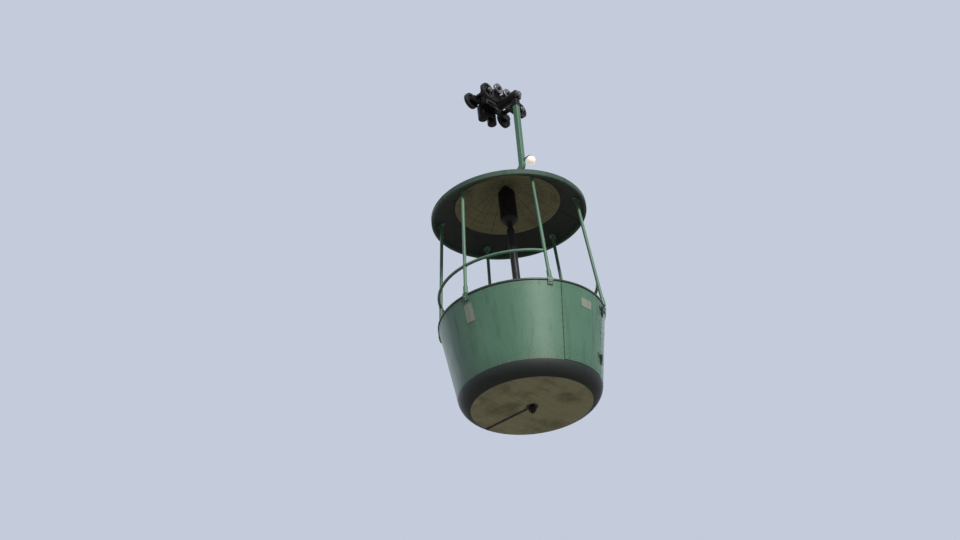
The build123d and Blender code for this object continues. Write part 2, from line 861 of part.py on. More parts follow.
# Lamp: a glass globe that hangs from a bent stalk on the hanger
lamp_z = arm_foot_z + lamp_rise
stalk_z = lamp_z + lamp_drop
arm_face_y = -arm_top_offset + arm_lean * (pivot_height - stalk_z - lamp_cap_radius) - arm_depth / 2
lamp_y = arm_face_y - lamp_reach
with BuildPart() as lamp_stalk:
    with BuildLine(Plane.YZ) as stalk_path:
        FilletPolyline(
            (arm_face_y, stalk_z),
            (lamp_y, stalk_z),
            (lamp_y, lamp_z + lamp_radius),
            radius=2 * lamp_stalk_radius,
        )
    with BuildSketch(Plane.XZ.offset(-arm_face_y)):
        with Locations((0, stalk_z)):
            Circle(lamp_stalk_radius)
    sweep(path=stalk_path.line)
    with BuildSketch(Plane.XZ.offset(-arm_face_y)):
        with Locations((0, stalk_z)):
            Circle(lamp_cap_radius)
    extrude(amount=lamp_cap_height)
    with BuildSketch(Plane.XY.offset(lamp_z + lamp_radius)):
        with Locations((0, lamp_y)):
            Circle(lamp_cap_radius)
    extrude(amount=lamp_cap_height)
lamp_stalk.part.label = "lamp_stalk"
export_step(lamp_stalk.part, "parts/lamp_stalk.step")

with BuildPart() as lamp_globe:
    with Locations((0, lamp_y, lamp_z)):
        Sphere(lamp_radius)
    with BuildSketch(Plane.XY.offset(lamp_z + lamp_radius)):
        with Locations((0, lamp_y)):
            Circle(lamp_neck_radius)
    extrude(amount=-lamp_radius / 2)
lamp_globe.part.label = "lamp_globe"
export_step(lamp_globe.part, "parts/lamp_globe.step")

# Carriage frame: two side plates joined by bridges and the grip block
half_base = wheel_base / 2
half_block = block_length / 2
plate_outer = plate_half_gap + plate_thickness
boss_outer = plate_outer + plate_boss_rise
with BuildPart() as carriage_frame:
    for side in (-1, 1):
        inner_face = Plane.XZ.offset(plate_half_gap if side > 0 else -plate_outer)
        with BuildSketch(inner_face):
            with Locations((-half_base, axle_height), (half_base, axle_height)):
                Circle(plate_boss_radius)
            Polygon(
                (-half_base, axle_height - plate_boss_radius),
                (-half_block, plate_bottom),
                (half_block, plate_bottom),
                (half_base, axle_height - plate_boss_radius),
                (half_base, axle_height + plate_boss_radius),
                (half_block + plate_shoulder, plate_top),
                (-half_block - plate_shoulder, plate_top),
                (-half_base, axle_height + plate_boss_radius),
                align=None,
            )
            with Locations((-window_reach, window_height), (window_reach, window_height)):
                Circle(window_radius, mode=Mode.SUBTRACT)
        extrude(amount=plate_thickness)
        outer_face = Plane.XZ.offset(plate_outer if side > 0 else -boss_outer)
        with BuildSketch(outer_face):
            with Locations((-half_base, axle_height), (half_base, axle_height)):
                Circle(plate_boss_radius)
        extrude(amount=plate_boss_rise)
    with Locations((0, 0, (block_bottom + plate_top) / 2)):
        Box(block_length, 2 * plate_half_gap, plate_top - block_bottom)
    for x in (-bridge_reach, bridge_reach):
        with Locations((x, 0, (bridge_bottom + bridge_top) / 2)):
            Box(bridge_width, 2 * plate_half_gap, bridge_top - bridge_bottom)
    for x in (-lever_spacing / 2, lever_spacing / 2):
        for side in (-1, 1):
            lug_x = x + side * (lever_thickness / 2 + lug_gap)
            with Locations((lug_x, 0, (plate_top + lever_crest) / 2)):
                Box(lug_thickness, lug_width, lever_crest - plate_top)
    with BuildSketch(Plane.XZ.offset(plate_half_gap)):
        with Locations((0, pivot_height)):
            Circle(pivot_boss_root_radius)
    with BuildSketch(Plane.XZ.offset(arm_top_offset - eye_width / 2 - side_gap)):
        with Locations((0, pivot_height)):
            Circle(pivot_boss_radius)
    loft()
carriage_frame.part.label = "carriage_frame"
export_step(carriage_frame.part, "parts/carriage_frame.step")

# Jaws under the grip block, with the grip's bore along their lower edges
for name, side in (("fixed_jaw", 1), ("moving_jaw", -1)):
    with BuildPart() as jaw:
        with BuildSketch(Plane.YZ.offset(-half_block)):
            with Locations((side * (jaw_split + jaw_depth) / 2, (block_bottom - jaw_drop) / 2)):
                Rectangle(jaw_depth, block_bottom + jaw_drop)
            Circle(jaw_bore_radius, mode=Mode.SUBTRACT)
        extrude(amount=block_length)
    jaw.part.label = name
    export_step(jaw.part, f"parts/{name}.step")

# Pivot pin for the hanger, with its washer and nut outside the eye
pin_inner = arm_top_offset - eye_width / 2 - side_gap
pin_outer = arm_top_offset + eye_width / 2 + side_gap
with BuildPart() as pivot_pin:
    with BuildSketch(Plane.XZ.offset(pin_inner)):
        with Locations((0, pivot_height)):
            Circle(pivot_pin_radius)
    extrude(amount=pin_outer - pin_inner + pivot_washer_width)
    with BuildSketch(Plane.XZ.offset(pin_outer)):
        with Locations((0, pivot_height)):
            Circle(pivot_washer_radius)
    extrude(amount=pivot_washer_width)
    with BuildSketch(Plane.XZ.offset(pin_outer + pivot_washer_width)):
        with Locations((0, pivot_height)):
            RegularPolygon(pivot_nut_radius, 6)
    extrude(amount=pivot_nut_width)
pivot_pin.part.label = "pivot_pin"
export_step(pivot_pin.part, "parts/pivot_pin.step")

# Wheel axles: stub pins out of the side plates, each with a cap outside its wheel
wheel_outer = wheel_track / 2 + wheel_width / 2
wheel_places = (
    ("front_left", 1, 1),
    ("front_right", 1, -1),
    ("rear_left", -1, 1),
    ("rear_right", -1, -1),
)
with BuildPart() as wheel_axles:
    for name, along, across in wheel_places:
        outwards = Plane(
            origin=(along * half_base, across * boss_outer, axle_height),
            x_dir=(1, 0, 0),
            z_dir=(0, across, 0),
        )
        with BuildSketch(outwards):
            Circle(axle_radius)
        extrude(amount=wheel_outer + side_gap - boss_outer)
        with BuildSketch(outwards.offset(wheel_outer + side_gap - boss_outer)):
            Circle(axle_cap_radius)
        extrude(amount=axle_cap_width)
wheel_axles.part.label = "wheel_axles"
export_step(wheel_axles.part, "parts/wheel_axles.step")

# Four wheels: a dished hub with holes through its web, and a tyre round it
hub_radius = wheel_radius - tread_thickness
hub_rim_inner = hub_radius - hub_rim_thickness
half_width = wheel_width / 2
tread_half_width = half_width - tread_inset
for name, along, across in wheel_places:
    hub_centre = (along * half_base, across * wheel_track / 2, axle_height)
    axle_line = Axis(hub_centre, (0, 1, 0))
    section_plane = Plane(origin=hub_centre, x_dir=(1, 0, 0), z_dir=(0, 0, 1))
    web_plane = Plane(origin=hub_centre, x_dir=(1, 0, 0), z_dir=(0, 1, 0)).offset(-web_thickness / 2)
    with BuildPart() as hub:
        with BuildSketch(section_plane):
            Polygon(
                (axle_radius + running_clearance, -half_width),
                (hub_boss_radius, -half_width),
                (hub_boss_radius, -web_thickness / 2),
                (hub_rim_inner, -web_thickness / 2),
                (hub_rim_inner, -tread_half_width),
                (hub_radius, -tread_half_width),
                (hub_radius, tread_half_width),
                (hub_rim_inner, tread_half_width),
                (hub_rim_inner, web_thickness / 2),
                (hub_boss_radius, web_thickness / 2),
                (hub_boss_radius, half_width),
                (axle_radius + running_clearance, half_width),
                align=None,
            )
        revolve(axis=axle_line)
        with BuildSketch(web_plane):
            with PolarLocations(web_hole_place, web_hole_count):
                Circle(web_hole_radius)
        extrude(amount=web_thickness, mode=Mode.SUBTRACT)
    hub.part.label = f"hub_{name}"
    export_step(hub.part, f"parts/hub_{name}.step")

    with BuildPart() as tyre:
        with BuildSketch(section_plane):
            with Locations((hub_radius + tread_thickness / 2, 0)):
                Rectangle(tread_thickness, 2 * tread_half_width)
        revolve(axis=axle_line)
        fillet(tyre.edges().filter_by(GeomType.CIRCLE).group_by(SortBy.RADIUS)[-1], tread_round)
    tyre.part.label = f"tyre_{name}"
    export_step(tyre.part, f"parts/tyre_{name}.step")

# Grip levers: saddles over the frame, from the roller's pin down to the spring rod
lever_heel_z = spring_top + lever_heel_rise
lever_top_z = lever_crest + lever_depth / 2
lever_underside_z = plate_top + lever_clearance
roller_inner = roller_side - roller_width / 2
tip_y = -(roller_inner - roller_gap)
lever_places = (("front", 1), ("rear", -1))
with BuildPart() as grip_levers:
    for name, along in lever_places:
        lever_x = along * lever_spacing / 2
        with BuildSketch(Plane.YZ.offset(lever_x - lever_thickness / 2)):
            Polygon(
                (tip_y, roller_height - lever_tip_height / 2),
                (tip_y, roller_height + lever_tip_height / 2),
                (-lever_crest_width / 2, lever_top_z),
                (lever_crest_width / 2, lever_top_z),
                (barrel_side + lever_heel_width / 2, lever_heel_z + lever_depth),
                (barrel_side + lever_heel_width / 2, lever_heel_z),
                (barrel_side - lever_heel_width / 2, lever_heel_z),
                (plate_outer + lever_clearance, lever_underside_z),
                (-plate_outer, lever_underside_z),
                align=None,
            )
        extrude(amount=lever_thickness)
        with BuildSketch(Plane.XZ.offset(roller_inner - roller_gap)):
            with Locations((lever_x, roller_height)):
                Circle(roller_pin_radius)
        extrude(amount=roller_width + 2 * roller_gap)
        with BuildSketch(Plane.XZ.offset(roller_inner + roller_width + roller_gap)):
            with Locations((lever_x, roller_height)):
                Circle(roller_cap_radius)
        extrude(amount=roller_cap_width)
grip_levers.part.label = "grip_levers"
export_step(grip_levers.part, "parts/grip_levers.step")

# Control rollers on the levers
for name, along in lever_places:
    with BuildPart() as roller:
        with BuildSketch(Plane.XZ.offset(roller_inner + roller_gap)):
            with Locations((along * lever_spacing / 2, roller_height)):
                Circle(roller_radius)
                Circle(roller_pin_radius + running_clearance, mode=Mode.SUBTRACT)
        extrude(amount=roller_width - 2 * roller_gap)
        fillet(roller.edges().filter_by(GeomType.CIRCLE).group_by(SortBy.RADIUS)[-1], roller_round)
    roller.part.label = f"roller_{name}"
    export_step(roller.part, f"parts/roller_{name}.step")

# Grip springs in upright barrels on one casting, pushing the levers' heels up
with BuildPart() as grip_springs:
    for name, along in lever_places:
        with BuildSketch(Plane.XY.offset(spring_bottom)):
            with Locations((along * lever_spacing / 2, barrel_side)):
                Circle(spring_radius)
        extrude(amount=spring_top - spring_bottom)
        with BuildSketch(Plane.XY.offset(spring_top)):
            with Locations((along * lever_spacing / 2, barrel_side)):
                Circle(spring_rod_radius)
        extrude(amount=lever_heel_z - spring_top)
    casting_middle_z = (spring_casting_bottom + spring_casting_top) / 2
    with Locations((0, (plate_outer + barrel_side) / 2, casting_middle_z)):
        Box(lever_spacing, barrel_side - plate_outer, spring_casting_top - spring_casting_bottom)
    fillet(grip_springs.edges().group_by(Axis.Z)[0], spring_round)
grip_springs.part.label = "grip_springs"
export_step(grip_springs.part, "parts/grip_springs.step")
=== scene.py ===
import json
import math
import random

import bmesh
import bpy
from mathutils import Matrix, Vector, noise
from mathutils.bvhtree import BVHTree


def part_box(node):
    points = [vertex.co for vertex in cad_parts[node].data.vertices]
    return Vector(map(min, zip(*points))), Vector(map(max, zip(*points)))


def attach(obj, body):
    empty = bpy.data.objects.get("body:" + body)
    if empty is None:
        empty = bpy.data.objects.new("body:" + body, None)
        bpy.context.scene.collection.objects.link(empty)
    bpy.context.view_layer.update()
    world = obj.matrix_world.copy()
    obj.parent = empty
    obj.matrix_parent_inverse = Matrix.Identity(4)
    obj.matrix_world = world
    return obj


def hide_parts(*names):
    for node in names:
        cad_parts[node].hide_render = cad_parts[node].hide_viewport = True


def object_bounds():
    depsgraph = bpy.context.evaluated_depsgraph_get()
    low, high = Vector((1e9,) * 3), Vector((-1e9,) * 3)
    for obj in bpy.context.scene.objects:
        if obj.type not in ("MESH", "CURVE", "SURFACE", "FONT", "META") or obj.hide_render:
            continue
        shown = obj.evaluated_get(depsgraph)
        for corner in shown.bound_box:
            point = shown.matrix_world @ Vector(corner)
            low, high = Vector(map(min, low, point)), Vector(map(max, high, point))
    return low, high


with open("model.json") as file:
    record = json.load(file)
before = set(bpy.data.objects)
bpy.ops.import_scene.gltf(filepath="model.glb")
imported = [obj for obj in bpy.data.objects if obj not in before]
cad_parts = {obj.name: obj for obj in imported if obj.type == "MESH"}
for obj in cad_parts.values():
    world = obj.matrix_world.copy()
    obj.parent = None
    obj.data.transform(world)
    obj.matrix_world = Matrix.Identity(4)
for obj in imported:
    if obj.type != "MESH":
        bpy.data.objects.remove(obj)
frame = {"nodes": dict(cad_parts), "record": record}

cad_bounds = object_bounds()
random.seed(7)

# Places read from the frame
floor_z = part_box("floor_board")[0].z
deck_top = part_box("deck")[1].z
wall_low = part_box("tub_wall")[0].z
wall_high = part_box("tub_wall")[1].z
rim_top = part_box("rim_bead")[1].z
roof_rim_z = (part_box("roof_rim")[0].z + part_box("roof_rim")[1].z) / 2

# Sizes of the cabin that the details below follow
door_angle = 270
door_half_angle = 22
post_angles = [60 * number for number in range(6)]
post_foot_radius = 0.790
post_head_radius = 0.676
post_radius = 0.016
rail_height = 1.225
hinge_heights = (0.270, 0.760)
hinge_length = 0.077

# Ways, and starts of the straight lines that look for a surface
upwards = Vector((0, 0, 1))
downwards = Vector((0, 0, -1))
outside = 2.0
over_roof = cad_bounds[1][2]
under_roof = floor_z + 0.9


def corners(node):
    """Vertices of a CAD node."""
    return [corner.co for corner in frame["nodes"][node].data.vertices]


def reach(node, z):
    """Distance from the cabin's axis to the outermost point of a node at a height."""
    points = corners(node)
    level = min((point.z for point in points), key=lambda height: abs(height - z))
    return max(math.hypot(point.x, point.y) for point in points if abs(point.z - level) < 1e-4)


wall_low_radius = reach("tub_wall", wall_low)
wall_high_radius = reach("tub_wall", wall_high)
wall_lean = (wall_high_radius - wall_low_radius) / (wall_high - wall_low)


def wall_radius(z):
    """Outer radius of the tub's wall at a height."""
    return wall_low_radius + (z - wall_low) * wall_lean


def polar(radius, angle, z):
    """Point at a distance and an angle in degrees from the cabin's axis."""
    turn = math.radians(angle)
    return Vector((radius * math.cos(turn), radius * math.sin(turn), z))


def direction(azimuth, elevation):
    """Way that points at an azimuth and an elevation in degrees."""
    lift = math.radians(elevation)
    return polar(math.cos(lift), azimuth, math.sin(lift))


def between_angles(first, second):
    """Smallest turn from one angle in degrees to another."""
    return abs((first - second + 180) % 360 - 180)


def steps(first, last, count):
    """Evenly spaced numbers from the first to the last."""
    return [first + (last - first) * number / (count - 1) for number in range(count)]


def circle(radius, count, z=0.0, turn=0.0):
    """Evenly spaced points round the Z axis, from a turn in radians on."""
    angles = [2 * math.pi * number / count + turn for number in range(count)]
    return [Vector((radius * math.cos(a), radius * math.sin(a), z)) for a in angles]


# Shader maths


def rgb(red, green, blue):
    """Colour as a screen shows it, from 0 to 255, as the shaders want it."""
    def linear(value):
        share = value / 255
        return share / 12.92 if share <= 0.04045 else ((share + 0.055) / 1.055) ** 2.4

    return (linear(red), linear(green), linear(blue), 1.0)


class Wire:
    """A socket's value, so that masks are written as sums: 1 - dust * 0.4."""

    def __init__(self, finish, socket):
        self.finish = finish
        self.socket = socket

    def maths(self, operation, other):
        return self.finish.node("ShaderNodeMath", {"operation": operation}, [self, other])

    def __add__(self, other):
        return self.maths("ADD", other)

    __radd__ = __add__

    def __mul__(self, other):
        return self.maths("MULTIPLY", other)

    def __sub__(self, other):
        return self.maths("SUBTRACT", other)

    def __rsub__(self, other):
        return self.finish.node("ShaderNodeMath", {"operation": "SUBTRACT"}, [other, self])

    def __truediv__(self, other):
        return self.maths("DIVIDE", other)

    def __pow__(self, other):
        return self.maths("POWER", other)

    def between(self, low, high):
        """0 below the low value, 1 above the high one, with a smooth rise."""
        settings = {"interpolation_type": "SMOOTHSTEP"}
        return self.finish.node(
            "ShaderNodeMapRange", settings, {"Value": self, "From Min": low, "From Max": high}
        )


class Finish:
    """A material whose nodes are made by node() and whose masks are Wires."""

    def __init__(self, name, metallic=0.0, specular=0.5, sheen=0.0):
        self.material = bpy.data.materials.new(name)
        self.material.use_nodes = True
        self.tree = self.material.node_tree
        self.shader = self.tree.nodes["Principled BSDF"]
        self.shader.inputs["Metallic"].default_value = metallic
        self.shader.inputs["Specular IOR Level"].default_value = specular
        self.shader.inputs["Sheen Weight"].default_value = sheen
        self.place = self.node("ShaderNodeTexCoord", out="Object")
        self.x, self.y, self.z = (
            self.node("ShaderNodeSeparateXYZ", sockets=[self.place], out=axis) for axis in "XYZ"
        )

    def node(self, kind, settings=None, sockets=None, out=0):
        """Any node: its settings are set first, then its sockets by name or in order."""
        made = self.tree.nodes.new(kind)
        for key, value in (settings or {}).items():
            setattr(made, key, value)
        pairs = sockets.items() if isinstance(sockets, dict) else enumerate(sockets or [])
        for key, value in pairs:
            if isinstance(value, Wire):
                self.tree.links.new(value.socket, made.inputs[key])
            else:
                made.inputs[key].default_value = value
        return Wire(self, made.outputs[out])

    def noise(self, scale, detail, stretch=(1, 1, 1), roughness=0.55, place=None):
        """Cloudy mask, stretched along the axes with a small factor."""
        sockets = {"Vector": place or self.place, "Scale": stretch}
        mapped = self.node("ShaderNodeMapping", sockets=sockets)
        sockets = {"Vector": mapped, "Scale": scale, "Detail": detail, "Roughness": roughness}
        return self.node("ShaderNodeTexNoise", sockets=sockets)

    def cells(self, scale):
        """Distance to the edges between the cells round scattered points."""
        settings = {"feature": "DISTANCE_TO_EDGE"}
        sockets = {"Vector": self.place, "Scale": scale}
        return self.node("ShaderNodeTexVoronoi", settings, sockets, out="Distance")

    def mix(self, share, first, second, blend="MIX"):
        """Colour between two colours."""
        settings = {"data_type": "RGBA", "blend_type": blend}
        return self.node("ShaderNodeMix", settings, {0: share, 6: first, 7: second}, out=2)

    def edges(self, radius):
        """1 along the piece's own edges, 0 on its flats."""
        rounded = self.node("ShaderNodeBevel", {"samples": 4}, {"Radius": radius})
        flat = self.node("ShaderNodeNewGeometry", out="Normal")
        match = self.node(
            "ShaderNodeVectorMath", {"operation": "DOT_PRODUCT"}, [rounded, flat], out="Value"
        )
        return (1 - match).between(0.01, 0.12)

    def bump(self, height, strength, distance):
        """Normals tilted by a height in the given depth."""
        sockets = {"Strength": strength, "Distance": distance, "Height": height}
        return self.node("ShaderNodeBump", sockets=sockets)

    def connect(self, **inputs):
        """Wires into the shader, with spaces in socket names written as underscores."""
        for name, wire in inputs.items():
            self.tree.links.new(wire.socket, self.shader.inputs[name.replace("_", " ")])
        return self


def enamel(name, colour, chalk, grime, gloss=0.38, wear=1.0):
    """Brushed satin enamel on sheet: chalked in clouds, streaked by rain, chipped at the edges."""
    paint = Finish(name, specular=0.6)
    clouds = paint.noise(2.3, 5)
    streaks = paint.noise(1.0, 4, stretch=(16, 16, 0.9)).between(0.48, 0.78)
    drips = paint.noise(1.0, 3, stretch=(55, 55, 1.6)).between(0.6, 0.72)
    speckle = paint.noise(90, 2)
    grain = paint.noise(260, 2)
    foot = 1 - paint.z.between(wall_low - 0.02, wall_low + 0.22)
    chips = paint.edges(0.004) * paint.noise(38, 4).between(0.5, 0.6) * wear
    flakes = paint.noise(26, 6, roughness=0.7).between(0.71, 0.74) * wear
    bare = chips.maths("MAXIMUM", flakes)
    rust = paint.mix(speckle.between(0.35, 0.65), rgb(64, 42, 30), rgb(96, 84, 72))
    body = paint.mix(clouds.between(0.38, 0.72) * 0.5, colour, chalk)
    body = paint.mix(streaks * 0.32, body, grime)
    body = paint.mix(drips * 0.25, body, grime)
    body = paint.mix(foot * speckle.between(0.3, 0.7) * 0.5, body, grime)
    body = paint.mix(bare, body, rust)
    rough = gloss + clouds * 0.18 + streaks * 0.1 + bare * 0.3
    relief = paint.noise(5.5, 2) * 0.9 + grain * 0.03 - bare * 0.06
    return paint.connect(Base_Color=body, Roughness=rough, Normal=paint.bump(relief, 0.35, 0.006))


def board(name, colour, dark, along, joint_angle=None):
    """Varnished board with long grain, stains and, where asked, radial joints."""
    wood = Finish(name, specular=0.3)
    if joint_angle:
        angle = wood.y.maths("ARCTAN2", wood.x)
        radius = (wood.x * wood.x + wood.y * wood.y) ** 0.5
        place = wood.node("ShaderNodeCombineXYZ", sockets=[angle * 0.35, radius, wood.z * 0.1])
        turn = (angle / math.radians(joint_angle)).maths("PINGPONG", 0.5)
        joints = 1 - (turn * radius).between(0.002, 0.006)
    else:
        place = wood.place
        joints = 0
    grain = wood.noise(1.0, 6, stretch=along, roughness=0.65, place=place)
    pores = wood.noise(1.0, 2, stretch=tuple(4 * share for share in along), place=place)
    stains = wood.noise(3.1, 5).between(0.46, 0.72)
    spots = wood.noise(34, 4).between(0.64, 0.72)
    tone = wood.mix(grain.between(0.25, 0.75), colour, dark)
    tone = wood.mix(pores.between(0.5, 0.72) * 0.35, tone, dark)
    tone = wood.mix(stains * 0.45, tone, rgb(62, 58, 42), blend="MULTIPLY")
    tone = wood.mix((spots * 0.5).maths("MAXIMUM", joints * 0.85), tone, rgb(28, 26, 20))
    rough = 0.55 + stains * 0.2
    relief = grain * 0.4 - joints * 1.5
    return wood.connect(Base_Color=tone, Roughness=rough, Normal=wood.bump(relief, 0.4, 0.002))


def iron(name, colour, oil=0.35, metallic=0.55):
    """Black cast or forged iron with an oily bloom, dust in the hollows and bright rubbed edges."""
    cast = Finish(name, metallic=metallic)
    skin = cast.noise(420, 3)
    bloom = cast.noise(11, 5).between(0.4, 0.7)
    dust = cast.noise(24, 5).between(0.55, 0.75)
    rubbed = cast.edges(0.003) * cast.noise(30, 3).between(0.42, 0.62)
    tone = cast.mix(bloom * 0.5, colour, rgb(46, 44, 42))
    tone = cast.mix(dust * 0.35, tone, rgb(74, 62, 48))
    tone = cast.mix(rubbed * 0.8, tone, rgb(150, 146, 140))
    rough = oil + skin * 0.2 + dust * 0.3
    relief = skin * 0.5 + cast.noise(60, 3) * 0.4
    return cast.connect(Base_Color=tone, Roughness=rough, Normal=cast.bump(relief, 0.35, 0.0012))


def steel(name, colour, scratches=(1, 1, 1), rust=0.35, base=0.28):
    """Bare or plated steel with fine scratches, oil stains and a little rust."""
    bare = Finish(name, metallic=1.0)
    lines = bare.noise(300, 2, stretch=scratches)
    film = bare.noise(14, 5).between(0.42, 0.7)
    bloom = bare.noise(48, 5, roughness=0.7).between(0.58, 0.7) * rust
    tone = bare.mix(film * 0.5, colour, rgb(92, 88, 80))
    tone = bare.mix(bloom, tone, rgb(98, 60, 36))
    rough = base + lines * 0.16 + bloom * 0.4
    metal = 1 - bloom * 0.8
    return bare.connect(
        Base_Color=tone, Roughness=rough, Metallic=metal, Normal=bare.bump(lines, 0.2, 0.0006)
    )


def ribbed_mat():
    """Black ribbed deck rubber, dusty between the ribs and scuffed where it is walked on."""
    mat = Finish("ribbed_mat", specular=0.3)
    pitch = 0.012
    rib = ((mat.y / pitch).maths("PINGPONG", 0.5)).between(0.12, 0.3)
    dust = mat.noise(7, 5).between(0.4, 0.7)
    scuffs = mat.noise(1.0, 4, stretch=(9, 40, 9)).between(0.56, 0.7)
    tone = mat.mix((1 - rib) * (0.45 + dust * 0.4), rgb(34, 34, 33), rgb(96, 88, 74))
    tone = mat.mix(scuffs * 0.35, tone, rgb(82, 80, 76))
    rough = 0.6 + dust * 0.25
    return mat.connect(Base_Color=tone, Roughness=rough, Normal=mat.bump(rib, 0.7, 0.003))


def leathercloth(name, colour, crease):
    """Padded vinyl cloth with a pebble grain, rubbed lighter and shinier where it is sat on."""
    vinyl = Finish(name, specular=0.45, sheen=0.05)
    pebbles = vinyl.cells(420).between(0.0, 0.35)
    folds = vinyl.noise(46, 4, stretch=(1, 1, 2.2))
    rub = vinyl.noise(6, 4).between(0.42, 0.7)
    tone = vinyl.mix(rub * 0.4, colour, crease)
    tone = vinyl.mix((1 - pebbles) * 0.35, tone, rgb(26, 10, 8))
    rough = 0.5 - rub * 0.12 + folds * 0.12
    relief = pebbles * 0.25 + folds * 0.9
    return vinyl.connect(Base_Color=tone, Roughness=rough, Normal=vinyl.bump(relief, 0.45, 0.0016))


def moulded_rubber(name, colour, dusty):
    """Grey-black wheel rubber, polished on its tread and dusty on its sides."""
    rubber = Finish(name, specular=0.35)
    dust = rubber.noise(30, 5).between(0.42, 0.7)
    skin = rubber.noise(500, 2)
    tone = rubber.mix(dust * dusty, colour, rgb(88, 82, 72))
    rough = 0.55 + dust * 0.3
    return rubber.connect(Base_Color=tone, Roughness=rough, Normal=rubber.bump(skin, 0.3, 0.0006))


def opal_glass():
    """White flashed glass, glossy, with a thin film of dust."""
    glass = Finish("opal_glass", specular=0.6)
    dust = glass.noise(40, 4).between(0.5, 0.8)
    top = glass.noise(18, 3).between(0.45, 0.7)
    tone = glass.mix(dust * 0.25 + top * 0.1, rgb(250, 250, 246), rgb(206, 202, 190))
    glass.shader.inputs["Emission Strength"].default_value = 0.55
    glow = glass.mix(dust * 0.3, rgb(255, 238, 216), rgb(206, 190, 168))
    return glass.connect(Base_Color=tone, Roughness=0.08 + dust * 0.3, Emission_Color=glow)


green = rgb(88, 130, 106)
green_chalk = rgb(116, 150, 126)
green_grime = rgb(34, 54, 44)
finishes = {
    "green_paint": enamel("green_enamel", green, green_chalk, green_grime),
    # painted shade: this near-black enamel stands in for the cabin's green paint lying in shade, as
    # on the tub's turned-under base
    "dark_green_paint": enamel(
        "near_black_enamel_painted_shade", rgb(34, 42, 40), rgb(50, 58, 52), rgb(20, 20, 17), gloss=0.5
    ),
    # painted shade: the roof rim's enamel is a darker green than the cabin's, standing in for the
    # shade on the rim's band
    "fascia_paint": enamel(
        "fascia_enamel_painted_shade", rgb(58, 84, 70), rgb(80, 104, 88), rgb(26, 36, 30), gloss=0.6
    ),
    # painted shade: the rim bead's dark green-grey enamel stands in for the shade along the rolled
    # rim
    "bead_trim": enamel(
        "bead_enamel_painted_shade", rgb(44, 58, 50), rgb(70, 84, 74), rgb(24, 26, 22), wear=1.4
    ),
    "ceiling_board": board(
        "ceiling_board", rgb(164, 158, 126), rgb(130, 124, 96), (3, 60, 60), joint_angle=30
    ),
    "floor_ply": board("floor_ply", rgb(168, 164, 132), rgb(146, 140, 110), (3, 70, 30)),
    "deck_rubber": ribbed_mat(),
    "dark_steel": iron("black_enamelled_steel", rgb(24, 26, 27), oil=0.4, metallic=0.2),
    "bright_steel": steel("plated_steel", rgb(196, 198, 198), rust=0.1, base=0.16),
    "seat_paint": enamel(
        "bench_enamel", rgb(104, 132, 112), rgb(128, 150, 130), green_grime, wear=1.3
    ),
    "seat_vinyl": leathercloth("red_brown_leathercloth", rgb(96, 36, 26), rgb(134, 62, 46)),
    "lamp_glass": opal_glass(),
    "carriage_iron": iron("oily_cast_iron", rgb(26, 27, 29)),
    "worn_steel": steel("worn_steel", rgb(150, 149, 146), scratches=(1, 6, 6)),
    "wheel_rubber": moulded_rubber("wheel_rubber", rgb(32, 32, 33), 0.5),
    "weld": iron("weld_bead", rgb(80, 92, 82), oil=0.5, metallic=0.3),
    "zinc": steel("zinc_fasteners", rgb(168, 170, 168), rust=0.55, base=0.4),
    "cream_enamel": enamel(
        "cream_enamel", rgb(150, 160, 144), rgb(170, 176, 158), rgb(84, 88, 72)
    ),
    "piping": leathercloth("dark_piping", rgb(58, 22, 17), rgb(84, 38, 29)),
}

for subpart in frame["record"]["subparts"]:
    materials = frame["nodes"][subpart["node"]].data.materials
    materials.clear()
    # painted shade: the roof's rim takes the darker fascia enamel, which stands in for the shade on
    # its band
    finish = "fascia_paint" if subpart["node"] == "roof_rim" else subpart["material_slot"]
    materials.append(finishes[finish].material)


# Mesh making


def mesh_data(name, mesh):
    """Mesh out of a bmesh, which is freed."""
    data = bpy.data.meshes.new(name)
    mesh.to_mesh(data)
    mesh.free()
    return data


def linked(name, data):
    """Object for a mesh, a camera or a light, linked into the scene."""
    made = bpy.data.objects.new(name, data)
    bpy.context.scene.collection.objects.link(made)
    return made


def piece(name, mesh, body, finish, sharp=32):
    """Adds a finished mesh to a body, smooth up to the given angle."""
    if isinstance(mesh, bmesh.types.BMesh):
        bmesh.ops.recalc_face_normals(mesh, faces=mesh.faces)
        mesh = mesh_data(name, mesh)
    made = linked(name, mesh)
    mesh.materials.clear()
    mesh.materials.append(finishes[finish].material)
    mesh.polygons.foreach_set("use_smooth", [True] * len(mesh.polygons))
    mesh.set_sharp_from_angle(angle=math.radians(sharp))
    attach(made, body)
    return made


trees = {}


def touch(node, start, towards):
    """Frame on a CAD node where a straight line meets it: Z out of the surface, X level."""
    if node not in trees:
        faces = [face.vertices for face in frame["nodes"][node].data.polygons]
        trees[node] = BVHTree.FromPolygons(corners(node), faces)
    point, normal, _, _ = trees[node].ray_cast(Vector(start), Vector(towards).normalized())
    assert point is not None, (node, tuple(start), tuple(towards))
    return facing(point, normal)


def facing(point, normal):
    """Frame at a point with Z along the normal and X level."""
    out = normal.normalized()
    across = upwards.cross(out)
    if across.length < 1e-3:
        across = Vector((1, 0, 0)) - out * out.x
    across.normalize()
    turned = Matrix((across, out.cross(across), out)).transposed().to_4x4()
    return Matrix.Translation(point) @ turned


def on_side(node, angle, z):
    """Frame on the cabin's outside at an angle and a height."""
    return touch(node, polar(outside, angle, z), -polar(1, angle, 0))


def in_row(node, angles, z):
    """Frames round the cabin's outside at one height."""
    return [on_side(node, angle, z) for angle in angles]


def on_slope(node, radius, angle, below, aside=0.0):
    """Frame on the roof or the ceiling, found from above or from below."""
    start = polar(radius, angle, under_roof if below else over_roof)
    return touch(node, start + polar(aside, angle + 90, 0), upwards if below else downwards)


